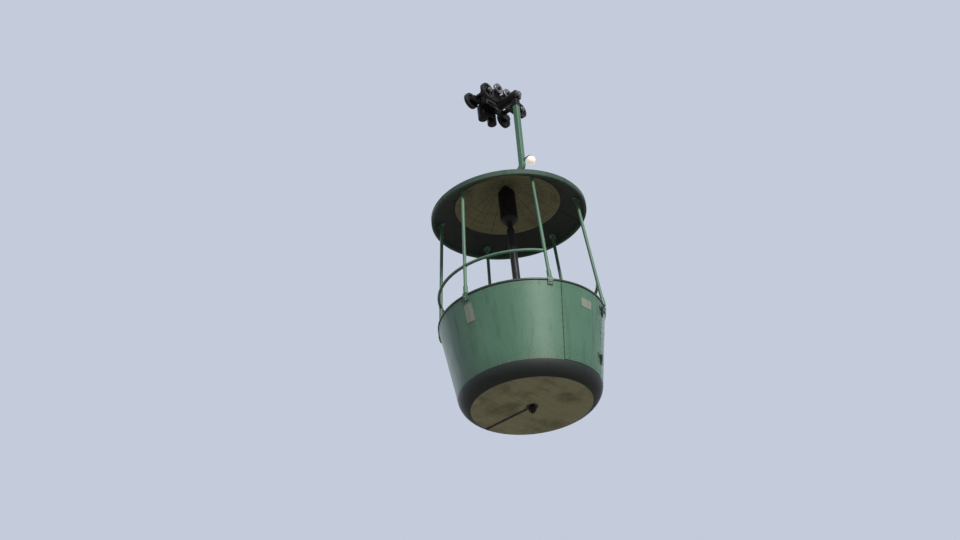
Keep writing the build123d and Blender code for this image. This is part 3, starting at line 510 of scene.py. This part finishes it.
def lathe(mesh, place, profile, sides, turn=0.0):
    """Round or many-sided head on a frame, from its (radius, height) profile."""
    rings = []
    for radius, height in profile:
        points = circle(radius, sides if radius else 1, height, turn)
        rings.append([mesh.verts.new(place @ point) for point in points])
    for low, high in zip(rings, rings[1:]):
        for side in range(sides):
            following = (side + 1) % sides
            if len(high) == 1:
                mesh.faces.new((low[side], low[following], high[0]))
            else:
                mesh.faces.new((low[side], low[following], high[following], high[side]))
    if len(rings[0]) > 1:
        mesh.faces.new(list(reversed(rings[0])))
    if len(rings[-1]) > 1:
        mesh.faces.new(rings[-1])


def head_profile(size, shares, sink=0.0005):
    """Profile from shares of a size, with a foot that sinks a little into the surface."""
    return [(size * shares[0][0], -sink)] + scaled(size, size, shares)


def scaled(size, length, shares):
    """Profile from shares of a size and of a length."""
    return [(size * radius, length * height) for radius, height in shares]


def rivets(name, places, body, paint="green_paint"):
    """Domed rivet heads on frames."""
    profile = head_profile(0.004, ((1, 0.2), (0.86, 0.55), (0.5, 0.8), (0, 0.88)))
    mesh = bmesh.new()
    for place in places:
        lathe(mesh, place, profile, 12)
    piece(name, mesh, body, paint, sharp=50)


def screws(name, places, body, size):
    """Countersunk raised heads with a dished middle."""
    shares = ((1, 0.12), (0.7, 0.34), (0.42, 0.42), (0.3, 0.18), (0, 0.12))
    profile = head_profile(size, shares, sink=0.0004)
    mesh = bmesh.new()
    for place in places:
        lathe(mesh, place, profile, 12, turn=random.random())
    piece(name, mesh, body, "zinc", sharp=40)


def bolts(name, places, body, size, finish="zinc", stand=1.0):
    """Hexagon heads on washers."""
    seat = 0.26
    shoulder = seat + 0.6 * stand
    top = seat + 0.75 * stand
    washer = head_profile(size, ((1.35, 0.18), (1.28, seat), (0, seat)))
    head = scaled(size, size, ((0.9, seat), (1, seat + 0.1), (1, shoulder), (0.86, top), (0, top)))
    mesh = bmesh.new()
    for place in places:
        lathe(mesh, place, washer, 20)
        lathe(mesh, place, head, 6, turn=random.random())
    piece(name, mesh, body, finish, sharp=28)


def swept_section(mesh, sections, closed=False):
    """Skin through closed sections with equally many points."""
    rings = [[mesh.verts.new(point) for point in section] for section in sections]
    follow = rings[1:] + ([rings[0]] if closed else [])
    for low, high in zip(rings, follow):
        for side in range(len(low)):
            following = (side + 1) % len(low)
            mesh.faces.new((low[side], low[following], high[following], high[side]))
    if not closed:
        mesh.faces.new(list(reversed(rings[0])))
        mesh.faces.new(rings[-1])


def tube(mesh, points, radius, closed=False):
    """Round tube along points, with level frames carried from one to the next."""
    count = len(points)
    sections = []
    side_way = None
    for number, point in enumerate(points):
        before = points[number - 1] if closed or number > 0 else point
        after = points[(number + 1) % count] if closed or number < count - 1 else point
        along = (after - before).normalized()
        if side_way is None:
            side_way = along.cross(upwards if abs(along.z) < 0.9 else Vector((1, 0, 0)))
        side_way = (side_way - along * side_way.dot(along)).normalized()
        other = along.cross(side_way)
        sections.append([point + side_way * spot.x + other * spot.y for spot in circle(radius, 8)])
    swept_section(mesh, sections, closed)


def ring_circle(centre, axis, radius, count):
    """Points of a circle round an axis."""
    place = facing(centre, axis)
    return [place @ point for point in circle(radius, count)]


def weld(name, loops, body, size):
    """Rippled weld beads round closed loops of points."""
    ripple = ((0.55, 0), (1, 0.5), (0.95, 0.9), (0.5, 1.3))
    mesh = bmesh.new()
    for loop in loops:
        for first, second in zip(loop, loop[1:] + loop[:1]):
            length = (second - first).length
            middle = facing((first + second) / 2, second - first)
            start = middle @ Matrix.Translation((0, 0, -length * ripple[-1][1] / 2))
            lathe(mesh, start, scaled(size, length, ripple), 6)
    piece(name, mesh, body, "weld", sharp=60)


# Tub: rivet rows and blank plates


def tub_details():
    """Rivet rows round the tub, and up both edges of the door where its stops are."""
    clear_of_feet = 3.2
    clear_of_hinges = 0.055
    low_row = wall_low + 0.020
    high_row = wall_high - 0.030
    door_lift = 0.006
    wall_pitch = 5
    door_pitch = 6
    half_row = 3 * door_pitch
    edge_inset = 0.015
    edge_ends = 0.055
    edge_count = 11
    wall_start = door_angle + door_half_angle
    wall_end = door_angle - door_half_angle + 360
    wall_angles = range(wall_start + wall_pitch, wall_end - wall_pitch, wall_pitch)
    door_angles = range(door_angle - half_row, door_angle + half_row + 1, door_pitch)

    def away_from_posts(angle):
        return min(between_angles(angle, post) for post in post_angles) > clear_of_feet

    def away_from_hinges(z):
        middles = (floor_z + height + hinge_length / 2 for height in hinge_heights)
        return all(abs(z - middle) > clear_of_hinges for middle in middles)

    wall_places = in_row("tub_wall", wall_angles, low_row)
    wall_places += in_row("tub_wall", filter(away_from_posts, wall_angles), high_row)
    door_places = in_row("door_panel", door_angles, low_row + door_lift)
    door_places += in_row("door_panel", door_angles, high_row)
    for z in steps(wall_low + edge_ends, wall_high - edge_ends, edge_count):
        for side in (-1, 1):
            if side > 0 and not away_from_hinges(z):
                continue
            from_edge = side * math.degrees(edge_inset / wall_radius(z))
            edge = door_angle + side * door_half_angle
            wall_places.append(on_side("tub_wall", edge + from_edge, z))
            door_places.append(on_side("door_panel", edge - from_edge, z))
    rivets("wall_rivets", wall_places, "cabin")
    rivets("door_rivets", door_places, "door")


def wall_patch(angle, z, width, height, out, thickness, corner):
    """Thin curved plate that lies on the tub's wall, with rounded corners."""
    half_width = width / 2
    half_height = height / 2
    radius = wall_radius(z)
    rows = 4
    cell = 0.012
    columns = max(6, int(width / cell))

    def point(across, up, depth):
        level = z + up
        edge = abs(up) - (half_height - corner)
        shrink = corner - math.sqrt(max(corner**2 - edge**2, 0)) if edge > 0 else 0
        across = max(-half_width + shrink, min(half_width - shrink, across))
        shift = math.degrees(across / radius)
        return polar(wall_radius(level) + out + depth, angle + shift, level)

    bends = [corner * (1 - math.cos(turn)) for turn in steps(0, math.pi / 2, 5)]
    ups = sorted(
        {-half_height + bend for bend in bends}
        | {half_height - bend for bend in bends}
        | set(steps(-half_height + corner, half_height - corner, rows))
    )
    mesh = bmesh.new()
    rims = []
    for depth in (0, thickness):
        grid = []
        for up in ups:
            row = [point(across, up, depth) for across in steps(-half_width, half_width, columns)]
            grid.append([mesh.verts.new(place) for place in row])
        for low, high in zip(grid, grid[1:]):
            for side in range(columns - 1):
                mesh.faces.new((low[side], low[side + 1], high[side + 1], high[side]))
        far_side = [row[-1] for row in grid[1:]]
        near_side = [row[0] for row in reversed(grid[1:-1])]
        rims.append(grid[0] + far_side + grid[-1][-2::-1] + near_side)
    back, front = rims
    for number in range(len(back)):
        following = (number + 1) % len(back)
        mesh.faces.new((back[number], back[following], front[following], front[number]))
    return mesh


def blank_plates():
    """Blank cream plates: an upright one on the wall and a wide one on the door."""
    stand_off = 0.0012
    thickness = 0.0016
    corner = 0.012
    screw_inset = 0.012
    # name, body, angle, height over the floor, width, height
    plates = (
        ("rear", "cabin", 180, 0.715, 0.095, 0.180),
        ("door", "door", 270, 0.743, 0.140, 0.085),
    )
    for name, body, angle, over_floor, width, height in plates:
        z = floor_z + over_floor
        mesh = wall_patch(angle, z, width, height, stand_off, thickness, corner)
        piece(f"blank_plate_{name}", mesh, body, "cream_enamel")
        places = []
        for side in (-1, 1):
            turned = angle + math.degrees(side * (width / 2 - screw_inset) / wall_radius(z))
            for up in (-1, 1):
                level = z + up * (height / 2 - screw_inset)
                point = polar(wall_radius(level) + stand_off + thickness, turned, level)
                places.append(facing(point, polar(1, turned, -wall_lean)))
        screws(f"plate_screws_{name}", places, body, size=0.0035)


tub_details()
blank_plates()


# Posts, feet and rail


def post_point(angle, z):
    """Point on a post's axis at a height."""
    share = (z - rim_top) / (roof_rim_z - rim_top)
    return polar(post_foot_radius + share * (post_head_radius - post_foot_radius), angle, z)


def post_details():
    """Weld beads at collars and rail ends, bolts in the saddles, screws in the roof pads."""
    bead_gap = 0.001
    collar_z = rim_top + 0.084 + bead_gap
    collar_bead = post_radius + 0.0025
    rail_z = floor_z + rail_height
    rail_bead = 0.0155
    bolt_depths = (0.012, 0.034)
    pad_height = 0.039
    pad_screw_radius = 0.026
    pad_slope = 29
    half_bay = 30
    collar_loops = []
    rail_loops = []
    foot_bolts = []
    pad_screws = []
    for angle in post_angles:
        across = polar(1, angle + 90, 0)
        head = post_point(angle, roof_rim_z)
        along = head - post_point(angle, rim_top)
        collar_loops.append(ring_circle(post_point(angle, collar_z), along, collar_bead, 20))
        for side in (-1, 1):
            if between_angles(angle + side * half_bay, door_angle) < 5:
                continue
            end = post_point(angle, rail_z) + across * side * (post_radius + bead_gap)
            rail_loops.append(ring_circle(end, across * side, rail_bead, 16))
        foot_bolts += [on_side("post_feet", angle, wall_high - depth) for depth in bolt_depths]
        normal = direction(angle, 90 - pad_slope)
        down_slope = normal.cross(across)
        for spot in circle(pad_screw_radius, 3):
            place = head + upwards * pad_height + across * spot.x + down_slope * spot.y
            pad_screws.append(touch(f"post_{angle // 60 + 1}", place - normal * 0.2, normal))
    weld("collar_welds", collar_loops, "cabin", 0.0030)
    weld("rail_welds", rail_loops, "cabin", 0.0026)
    bolts("foot_bolts", foot_bolts, "cabin", size=0.007)
    screws("pad_screws", pad_screws, "cabin", size=0.0045)


post_details()


# Roof and ceiling


def strip_section(height):
    """Section of a flat strip with eased edges: shares of the half width, and heights."""
    eased = height * 0.8
    return ((-1, -0.001), (-1, eased), (-0.8, height), (0.8, height), (1, eased), (1, -0.001))


def sloping_strips(mesh, node, angles, inner, outer, width, height, below):
    """Strips that follow the roof or the ceiling from one radius to another."""
    beside_joint = 0.002
    for angle in angles:
        across = polar(1, angle + 90, 0)
        sections = []
        for radius in steps(inner, outer, 14):
            place = on_slope(node, radius, angle, below, beside_joint)
            middle = place.translation - across * beside_joint
            out = place.to_3x3() @ upwards
            out = -out if (out.z > 0) == below else out
            section = []
            for shift, lift in strip_section(height):
                section.append(middle + across * shift * width / 2 + out * lift)
            sections.append(section)
        swept_section(mesh, sections)


def crown_band(mesh, radius, width, height):
    """Flat band on the roof where its crown laps over the sloping sheets."""
    sections = []
    for angle in range(2, 362, 6):
        section = []
        for shift, lift in strip_section(height):
            place = on_slope("roof", radius + shift * width / 2, angle, below=False)
            section.append(place.translation + upwards * lift)
        sections.append(section)
    swept_section(mesh, sections, closed=True)


def on_strips(node, angles, radii, height, below):
    """Frames on top of sloping strips."""
    lift = Matrix.Translation((0, 0, height))
    return [on_slope(node, radius, angle, below) @ lift for angle in angles for radius in radii]


def roof_details():
    """Lap strips and rivets over the roof's joints, cover strips and screws on the ceiling."""
    paint = "dark_green_paint"
    lap_height = 0.0025
    strip_height = 0.003
    seam_angles = [angle + 30 for angle in post_angles]
    rivet_angles = [angle + 0.2 for angle in seam_angles]
    rivet_radii = steps(0.165, 0.705, 13)
    strip_angles = range(15, 375, 30)
    screw_radii = steps(0.15, 0.50, 7)
    # inner radius, outer radius, width, height
    lap = (0.135, 0.722, 0.030, lap_height)
    under_lap = (0.524, 0.728, 0.034, lap_height)
    cover_strip = (0.12, 0.512, 0.022, strip_height)
    # radius, width, height
    crown_lap = (0.260, 0.034, lap_height)

    mesh = bmesh.new()
    sloping_strips(mesh, "roof", seam_angles, *lap, below=False)
    crown_band(mesh, *crown_lap)
    piece("roof_laps", mesh, "cabin", paint)
    mesh = bmesh.new()
    sloping_strips(mesh, "roof", seam_angles, *under_lap, below=True)
    piece("under_roof_laps", mesh, "cabin", paint)
    places = on_strips("roof", rivet_angles, rivet_radii, lap_height, below=False)
    rivets("roof_rivets", places, "cabin", paint)

    mesh = bmesh.new()
    sloping_strips(mesh, "ceiling_liner", strip_angles, *cover_strip, below=True)
    piece("ceiling_strips", mesh, "cabin", "ceiling_board")
    places = on_strips("ceiling_liner", strip_angles, screw_radii, strip_height, below=True)
    screws("ceiling_screws", places, "cabin", size=0.0042)


roof_details()


# Floor from below and deck


def floor_details():
    """Floor board's screws, sole plate's bolts, lock nut on its stud, deck's edging."""
    screw_inset = 0.028
    screw_ring = reach("floor_board", floor_z) - screw_inset
    places = [facing(polar(screw_ring, angle, floor_z), downwards) for angle in range(0, 360, 12)]
    screws("floor_screws", places, "cabin", size=0.006)
    plate_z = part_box("sole_plate")[0].z
    bolt_ring = 0.044
    places = [facing(polar(bolt_ring, angle, plate_z), downwards) for angle in range(0, 360, 90)]
    bolts("sole_bolts", places, "cabin", size=0.005)

    # radius and height under the floor nut
    washer = ((0.040, -0.0005), (0.040, 0.004), (0, 0.004))
    lock_nut = ((0.031, 0.003), (0.034, 0.007), (0.034, 0.024), (0.030, 0.028), (0, 0.028))
    stud = ((0.0185, 0.027), (0.0185, 0.040), (0.0155, 0.043), (0, 0.043))
    nut_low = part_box("floor_nut")[0].z
    below = facing(Vector((0, 0, nut_low)), downwards)
    mesh = bmesh.new()
    for profile, sides in ((washer, 24), (lock_nut, 6), (stud, 20)):
        lathe(mesh, below, profile, sides)
    piece("lock_nut", mesh, "cabin", "dark_steel")

    # inset from the deck's edge and height over the deck
    edging = ((0.030, -0.0005), (0.030, 0.002), (0.004, 0.003), (0.001, 0.001), (0.001, -0.0005))
    edge_radius = reach("deck", deck_top)
    sections = []
    for angle in range(0, 360, 4):
        sections.append([polar(edge_radius - inset, angle, deck_top + up) for inset, up in edging])
    mesh = bmesh.new()
    swept_section(mesh, sections, closed=True)
    piece("deck_edging", mesh, "cabin", "zinc")


floor_details()


# Cushions


def inflated(name, width, depth, thickness, swell):
    """Flat stuffed pad: a block smaller by the swell, blown up as cloth by no more than that."""
    mesh = bmesh.new()
    bmesh.ops.create_cube(mesh, size=1)
    block = [size - 2 * swell for size in (width, depth, thickness)]
    bmesh.ops.scale(mesh, vec=block, verts=mesh.verts)
    bevel = thickness * 0.22
    bmesh.ops.bevel(
        mesh, geom=list(mesh.edges), offset=bevel, segments=4, profile=0.5, affect="EDGES"
    )
    pad = linked(name, mesh_data(name, mesh))
    remesh = pad.modifiers.new("voxels", "REMESH")
    remesh.mode = "VOXEL"
    remesh.voxel_size = 0.0065
    settle(pad)
    last_frame = 20
    rest = [corner.co.copy() for corner in pad.data.vertices]
    cloth = pad.modifiers.new("cloth", "CLOTH")
    cloth.settings.quality = 4
    cloth.settings.tension_stiffness = 18
    cloth.settings.compression_stiffness = 18
    cloth.settings.bending_stiffness = 1.5
    cloth.settings.use_pressure = True
    cloth.settings.uniform_pressure_force = 4
    cloth.settings.effector_weights.gravity = 0
    cloth.collision_settings.use_collision = False
    cloth.point_cache.frame_start = 1
    cloth.point_cache.frame_end = last_frame
    for number in range(1, last_frame + 1):
        bpy.context.scene.frame_set(number)
    settle(pad)
    bpy.context.scene.frame_set(1)
    for corner, place in zip(pad.data.vertices, rest):
        move = corner.co - place
        if move.length > swell:
            move *= swell / move.length
        corner.co = place + move
    return pad


def settle(made):
    """Applies the modifiers of an object to its mesh."""
    bpy.context.view_layer.update()
    graph = bpy.context.evaluated_depsgraph_get()
    data = bpy.data.meshes.new_from_object(made.evaluated_get(graph))
    made.modifiers.clear()
    made.data = data


def crown(point, width, depth, thickness, channels):
    """Flat underside, crowned top and sewn channels across a pad, whose height is along Z."""
    end_fall = 0.22
    edge_fall = 0.30
    channel_width = 0.010
    channel_depth = 0.013
    wrinkle_depth = 0.0016
    across = point.x / (width / 2)
    along = point.y / (depth / 2)
    top = max(0.0, point.z / (thickness / 2))
    crowned = 1 - end_fall * across**8 - edge_fall * along**4
    z = point.z * (crowned if point.z > 0 else 1)
    for place in channels:
        gap = (point.x - place) / channel_width
        z -= top * channel_depth * math.exp(-gap * gap)
    wrinkle = noise.noise(Vector((point.x * 16, point.y * 9, 3))) * wrinkle_depth
    return Vector((point.x, point.y, max(z, -thickness / 2) + top * wrinkle))


def edge_loop(width, depth, inset, count):
    """Points round a rounded rectangle, for piping."""
    squareness = 0.22
    points = []
    for spot in circle(1, count):
        x, y = (math.copysign(abs(value) ** squareness, value) for value in (spot.x, spot.y))
        points.append(Vector((x * (width / 2 - inset), y * (depth / 2 - inset), 0)))
    return points


def seat_shapes():
    """Seat and back pads of both benches, bent from flat pads to the tub's round."""
    seat_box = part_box("front_cushion")
    back_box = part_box("front_backrest")
    half_turn = math.radians(50)
    seat_edge_height = 0.035
    inner = min(math.hypot(point.x, point.y) for point in corners("front_cushion"))
    outer = reach("front_cushion", seat_box[0].z + seat_edge_height)
    seat_middle = (inner + outer) / 2
    seat_thickness = seat_box[1].z - seat_box[0].z
    seat_z = seat_box[0].z + seat_thickness / 2
    seat_size = (2 * half_turn * seat_middle, outer - inner, seat_thickness)
    back_gap = 0.009
    back_thickness = 0.046
    bend_inset = 0.0085
    back_z = (back_box[0].z + back_box[1].z) / 2
    back_middle = wall_radius(back_z) - bend_inset
    back_size = (2 * half_turn * back_middle, back_box[1].z - back_box[0].z, back_thickness)
    edge_gap = 0.002
    piping_inset = 0.009
    piping_radius = 0.0032
    piping_levels = (-0.28, 0.22)

    def seat_place(point, turn):
        angle = math.degrees(point.x / seat_middle) + turn
        return polar(seat_middle + point.y, angle, seat_z + point.z)

    def back_place(point, turn):
        z = back_z + point.y
        angle = math.degrees(point.x / back_middle) + turn
        return polar(wall_radius(z) - back_gap - back_thickness / 2 - point.z, angle, z)

    # kind, size, swell, place on the tub, number of sewn channels
    kinds = (
        ("cushion", seat_size, 0.012, seat_place, 7),
        ("backrest", back_size, 0.009, back_place, 9),
    )
    for kind, size, swell, placing, channel_count in kinds:
        width, depth, thickness = size
        flat = inflated(f"flat_{kind}", width, depth, thickness, swell)
        channels = steps(-width / 2, width / 2, channel_count + 2)[1:-1]
        limit = (width / 2 - edge_gap, depth / 2 - edge_gap, thickness / 2)
        shaped = []
        for corner in flat.data.vertices:
            point = crown(corner.co, width, depth, thickness, channels)
            shaped.append(Vector(max(-edge, min(edge, value)) for value, edge in zip(point, limit)))
        loop = edge_loop(width, depth, piping_inset, 120)
        for side, turn in (("front", 0), ("rear", 180)):
            data = flat.data.copy()
            for corner, point in zip(data.vertices, shaped):
                corner.co = placing(point, turn)
            pad = piece(f"{side}_{kind}_pad", data, "cabin", "seat_vinyl", sharp=70)
            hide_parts(f"{side}_{kind}")
            mesh = bmesh.new()
            for level in piping_levels:
                raised = [placing(point + upwards * level * thickness, turn) for point in loop]
                tube(mesh, raised, piping_radius, closed=True)
            piece(f"{side}_{kind}_piping", mesh, "cabin", "piping", sharp=70)
        bpy.data.objects.remove(flat)


seat_shapes()


# Hinges and hanger


def door_details():
    """Screws in the hinge leaves."""
    # nodes, side of the door's edge, height within the hinge, body
    leaves = (("wall_hinges", 1, 0, "cabin"), ("door_hinges", -1, hinge_length / 2, "door"))
    edge = door_angle + door_half_angle
    screw_heights = (0.010, 0.028)
    from_edge = (0.028, 0.048)
    for nodes, side, leaf_low, body in leaves:
        places = []
        for height in hinge_heights:
            for up in screw_heights:
                z = floor_z + height + leaf_low + up
                for along in from_edge:
                    angle = edge + side * math.degrees(along / wall_radius(z))
                    places.append(on_side(nodes, angle, z))
        screws(f"{nodes}_screws", places, body, size=0.004)


def hanger_details():
    """Bolts in the roof cap's flange and a weld at the eye's neck."""
    bolt_radius = 0.104
    over_flange = floor_z + 2.52
    flange = [polar(bolt_radius, angle, over_flange) for angle in range(20, 380, 45)]
    places = [touch("roof_cap", point, downwards) for point in flange]
    bolts("cap_bolts", places, "cabin", size=0.009)
    low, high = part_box("hanger_arm")
    arm_depth = 0.056
    bead_gap = 0.001
    head_z = high.z - 0.003
    head = [point.y for point in corners("hanger_arm") if point.z > head_z]
    centre_y = (min(head) + max(head)) / 2
    half_x = (high.x - low.x) / 2 + bead_gap
    half_y = arm_depth / 2 + bead_gap
    loop = []
    for x, y in ((-1, -1), (1, -1), (1, 1), (-1, 1)):
        loop.append(Vector((x * half_x, centre_y + y * half_y, high.z - bead_gap)))
    points = []
    for first, second in zip(loop, loop[1:] + loop[:1]):
        points += [first.lerp(second, share) for share in steps(0, 0.9, 10)]
    weld("eye_weld", [points], "cabin", 0.0035)


door_details()
hanger_details()


# Grip carriage


def carriage_details():
    """Plate bolts, lever pins, axle nuts, hub bolts and spring coils."""
    far = 1.0
    pin_y = 0.012
    pin_z = 0.100
    hub_bolt_radius = 0.045
    # place along the way of travel, height
    front_bolts = [(0.030, 0.058), (0.085, 0.058), (0.205, 0.032)]
    bolt_places = [(-x, z) for x, z in reversed(front_bolts)] + front_bolts

    def from_side(node, x, z, side):
        return touch(node, (x, side * far, z), (0, -side, 0))

    places = [from_side("carriage_frame", x, z, side) for side in (-1, 1) for x, z in bolt_places]
    iron_look = "carriage_iron"
    bolts("plate_bolts", places, "carriage", size=0.009, finish=iron_look)
    places = []
    for side in (-1, 1):
        for start, way in ((0, side), (side * far, -side)):
            places.append(touch("carriage_frame", (start, pin_y, pin_z), (way, 0, 0)))
    bolts("lever_pins", places, "carriage", size=0.010)
    axle_z = (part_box("wheel_axles")[0].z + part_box("wheel_axles")[1].z) / 2
    wheel_x = 0.25
    # wheel, place along the way of travel, side
    wheels = (
        ("front_left", wheel_x, 1),
        ("front_right", wheel_x, -1),
        ("rear_left", -wheel_x, 1),
        ("rear_right", -wheel_x, -1),
    )
    places = [from_side("wheel_axles", x, axle_z, side) for _, x, side in wheels]
    bolts("axle_nuts", places, "carriage", size=0.013, stand=1.2)
    for name, x, side in wheels:
        places = []
        for spot in circle(hub_bolt_radius, 5, turn=math.radians(36)):
            places.append(from_side(f"hub_{name}", x + spot.x, axle_z + spot.y, side))
        bolts(f"hub_bolts_{name}", places, f"wheel_{name}", size=0.0045)

    coil_radius = 0.030
    coil_turns = 2.6
    coil_x = 0.07
    coil_y = 0.125
    coil_low = 0.014
    coil_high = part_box("grip_springs")[1].z - 0.007
    wire_radius = 0.0045
    mesh = bmesh.new()
    for x in (-coil_x, coil_x):
        points = []
        for share in steps(0, 1, 60):
            z = coil_low + (coil_high - coil_low) * share
            points.append(Vector((x, coil_y, 0)) + polar(coil_radius, 360 * coil_turns * share, z))
        tube(mesh, points, wire_radius)
    piece("spring_coils", mesh, "carriage", "worn_steel", sharp=60)


carriage_details()


# Stage: camera, floor and lights


def camera():
    """Camera at the photograph's angle: looking up along the cabin, a little rolled."""
    place = Vector((-12.37, -9.50, -11.49))
    heading = 38.77
    pitch = 31.5
    roll = math.radians(6.3)
    forward = direction(heading, pitch)
    right = forward.cross(upwards).normalized()
    up = right.cross(forward)
    rolled_up = up * math.cos(roll) + right * math.sin(roll)
    rolled_right = right * math.cos(roll) - up * math.sin(roll)
    data = bpy.data.cameras.new("camera")
    data.lens = 71.25
    data.sensor_width = 36
    data.clip_end = 200
    made = linked("camera", data)
    turned = Matrix((rolled_right, rolled_up, -forward)).transposed().to_4x4()
    made.matrix_world = Matrix.Translation(place) @ turned
    bpy.context.scene.camera = made
    return place.z


def lamp(name, azimuth, elevation, strength, softness, colour):
    """Broad soft lamp, very far away."""
    data = bpy.data.lights.new(name, "SUN")
    data.energy = strength
    data.angle = math.radians(softness)
    data.color = colour
    made = linked(name, data)
    made.rotation_euler = direction(azimuth, elevation).to_track_quat("Z", "Y").to_euler()


def stage(eye_level):
    """Pale floor just under the camera, pale surroundings and three soft lamps."""
    floor_size = 60
    under_camera = 0.15
    mesh = bmesh.new()
    bmesh.ops.create_grid(mesh, x_segments=1, y_segments=1, size=floor_size)
    bmesh.ops.translate(mesh, vec=(0, 0, eye_level - under_camera), verts=mesh.verts)
    ground = linked("floor", mesh_data("floor", mesh))
    pale = Finish("pale_floor", specular=0.1)
    tone = pale.mix(pale.noise(0.4, 3) * 0.2, rgb(214, 217, 222), rgb(204, 207, 213))
    seen = pale.node("ShaderNodeLightPath", out="Is Camera Ray")
    pale.connect(Base_Color=pale.mix(seen, rgb(168, 166, 158), tone))
    pale.shader.inputs["Roughness"].default_value = 0.9
    ground.data.materials.append(pale.material)

    world = bpy.data.worlds.new("surroundings")
    world.use_nodes = True
    bpy.context.scene.world = world
    tree = world.node_tree
    background = tree.nodes["Background"]
    path = tree.nodes.new("ShaderNodeLightPath")
    either = tree.nodes.new("ShaderNodeMath")
    either.operation = "MAXIMUM"
    tree.links.new(path.outputs["Is Camera Ray"], either.inputs[0])
    tree.links.new(path.outputs["Is Glossy Ray"], either.inputs[1])
    blend = tree.nodes.new("ShaderNodeMix")
    blend.data_type = "RGBA"
    # the dim light on the cabin, then what the camera and reflections see
    blend.inputs[6].default_value = (0.055, 0.065, 0.08, 1)
    blend.inputs[7].default_value = rgb(196, 204, 220)
    tree.links.new(either.outputs[0], blend.inputs[0])
    tree.links.new(blend.outputs[2], background.inputs["Color"])
    # name, azimuth, elevation, strength, softness, colour
    lamp("key", 246, 31, 2.7, 14, (1.0, 0.98, 0.94))
    lamp("fill", 75, 25, 0.35, 40, (0.88, 0.94, 1.0))
    lamp("back", 20, 35, 0.45, 40, (0.95, 0.97, 1.0))
    bpy.context.scene.view_settings.view_transform = "Standard"


stage(camera())
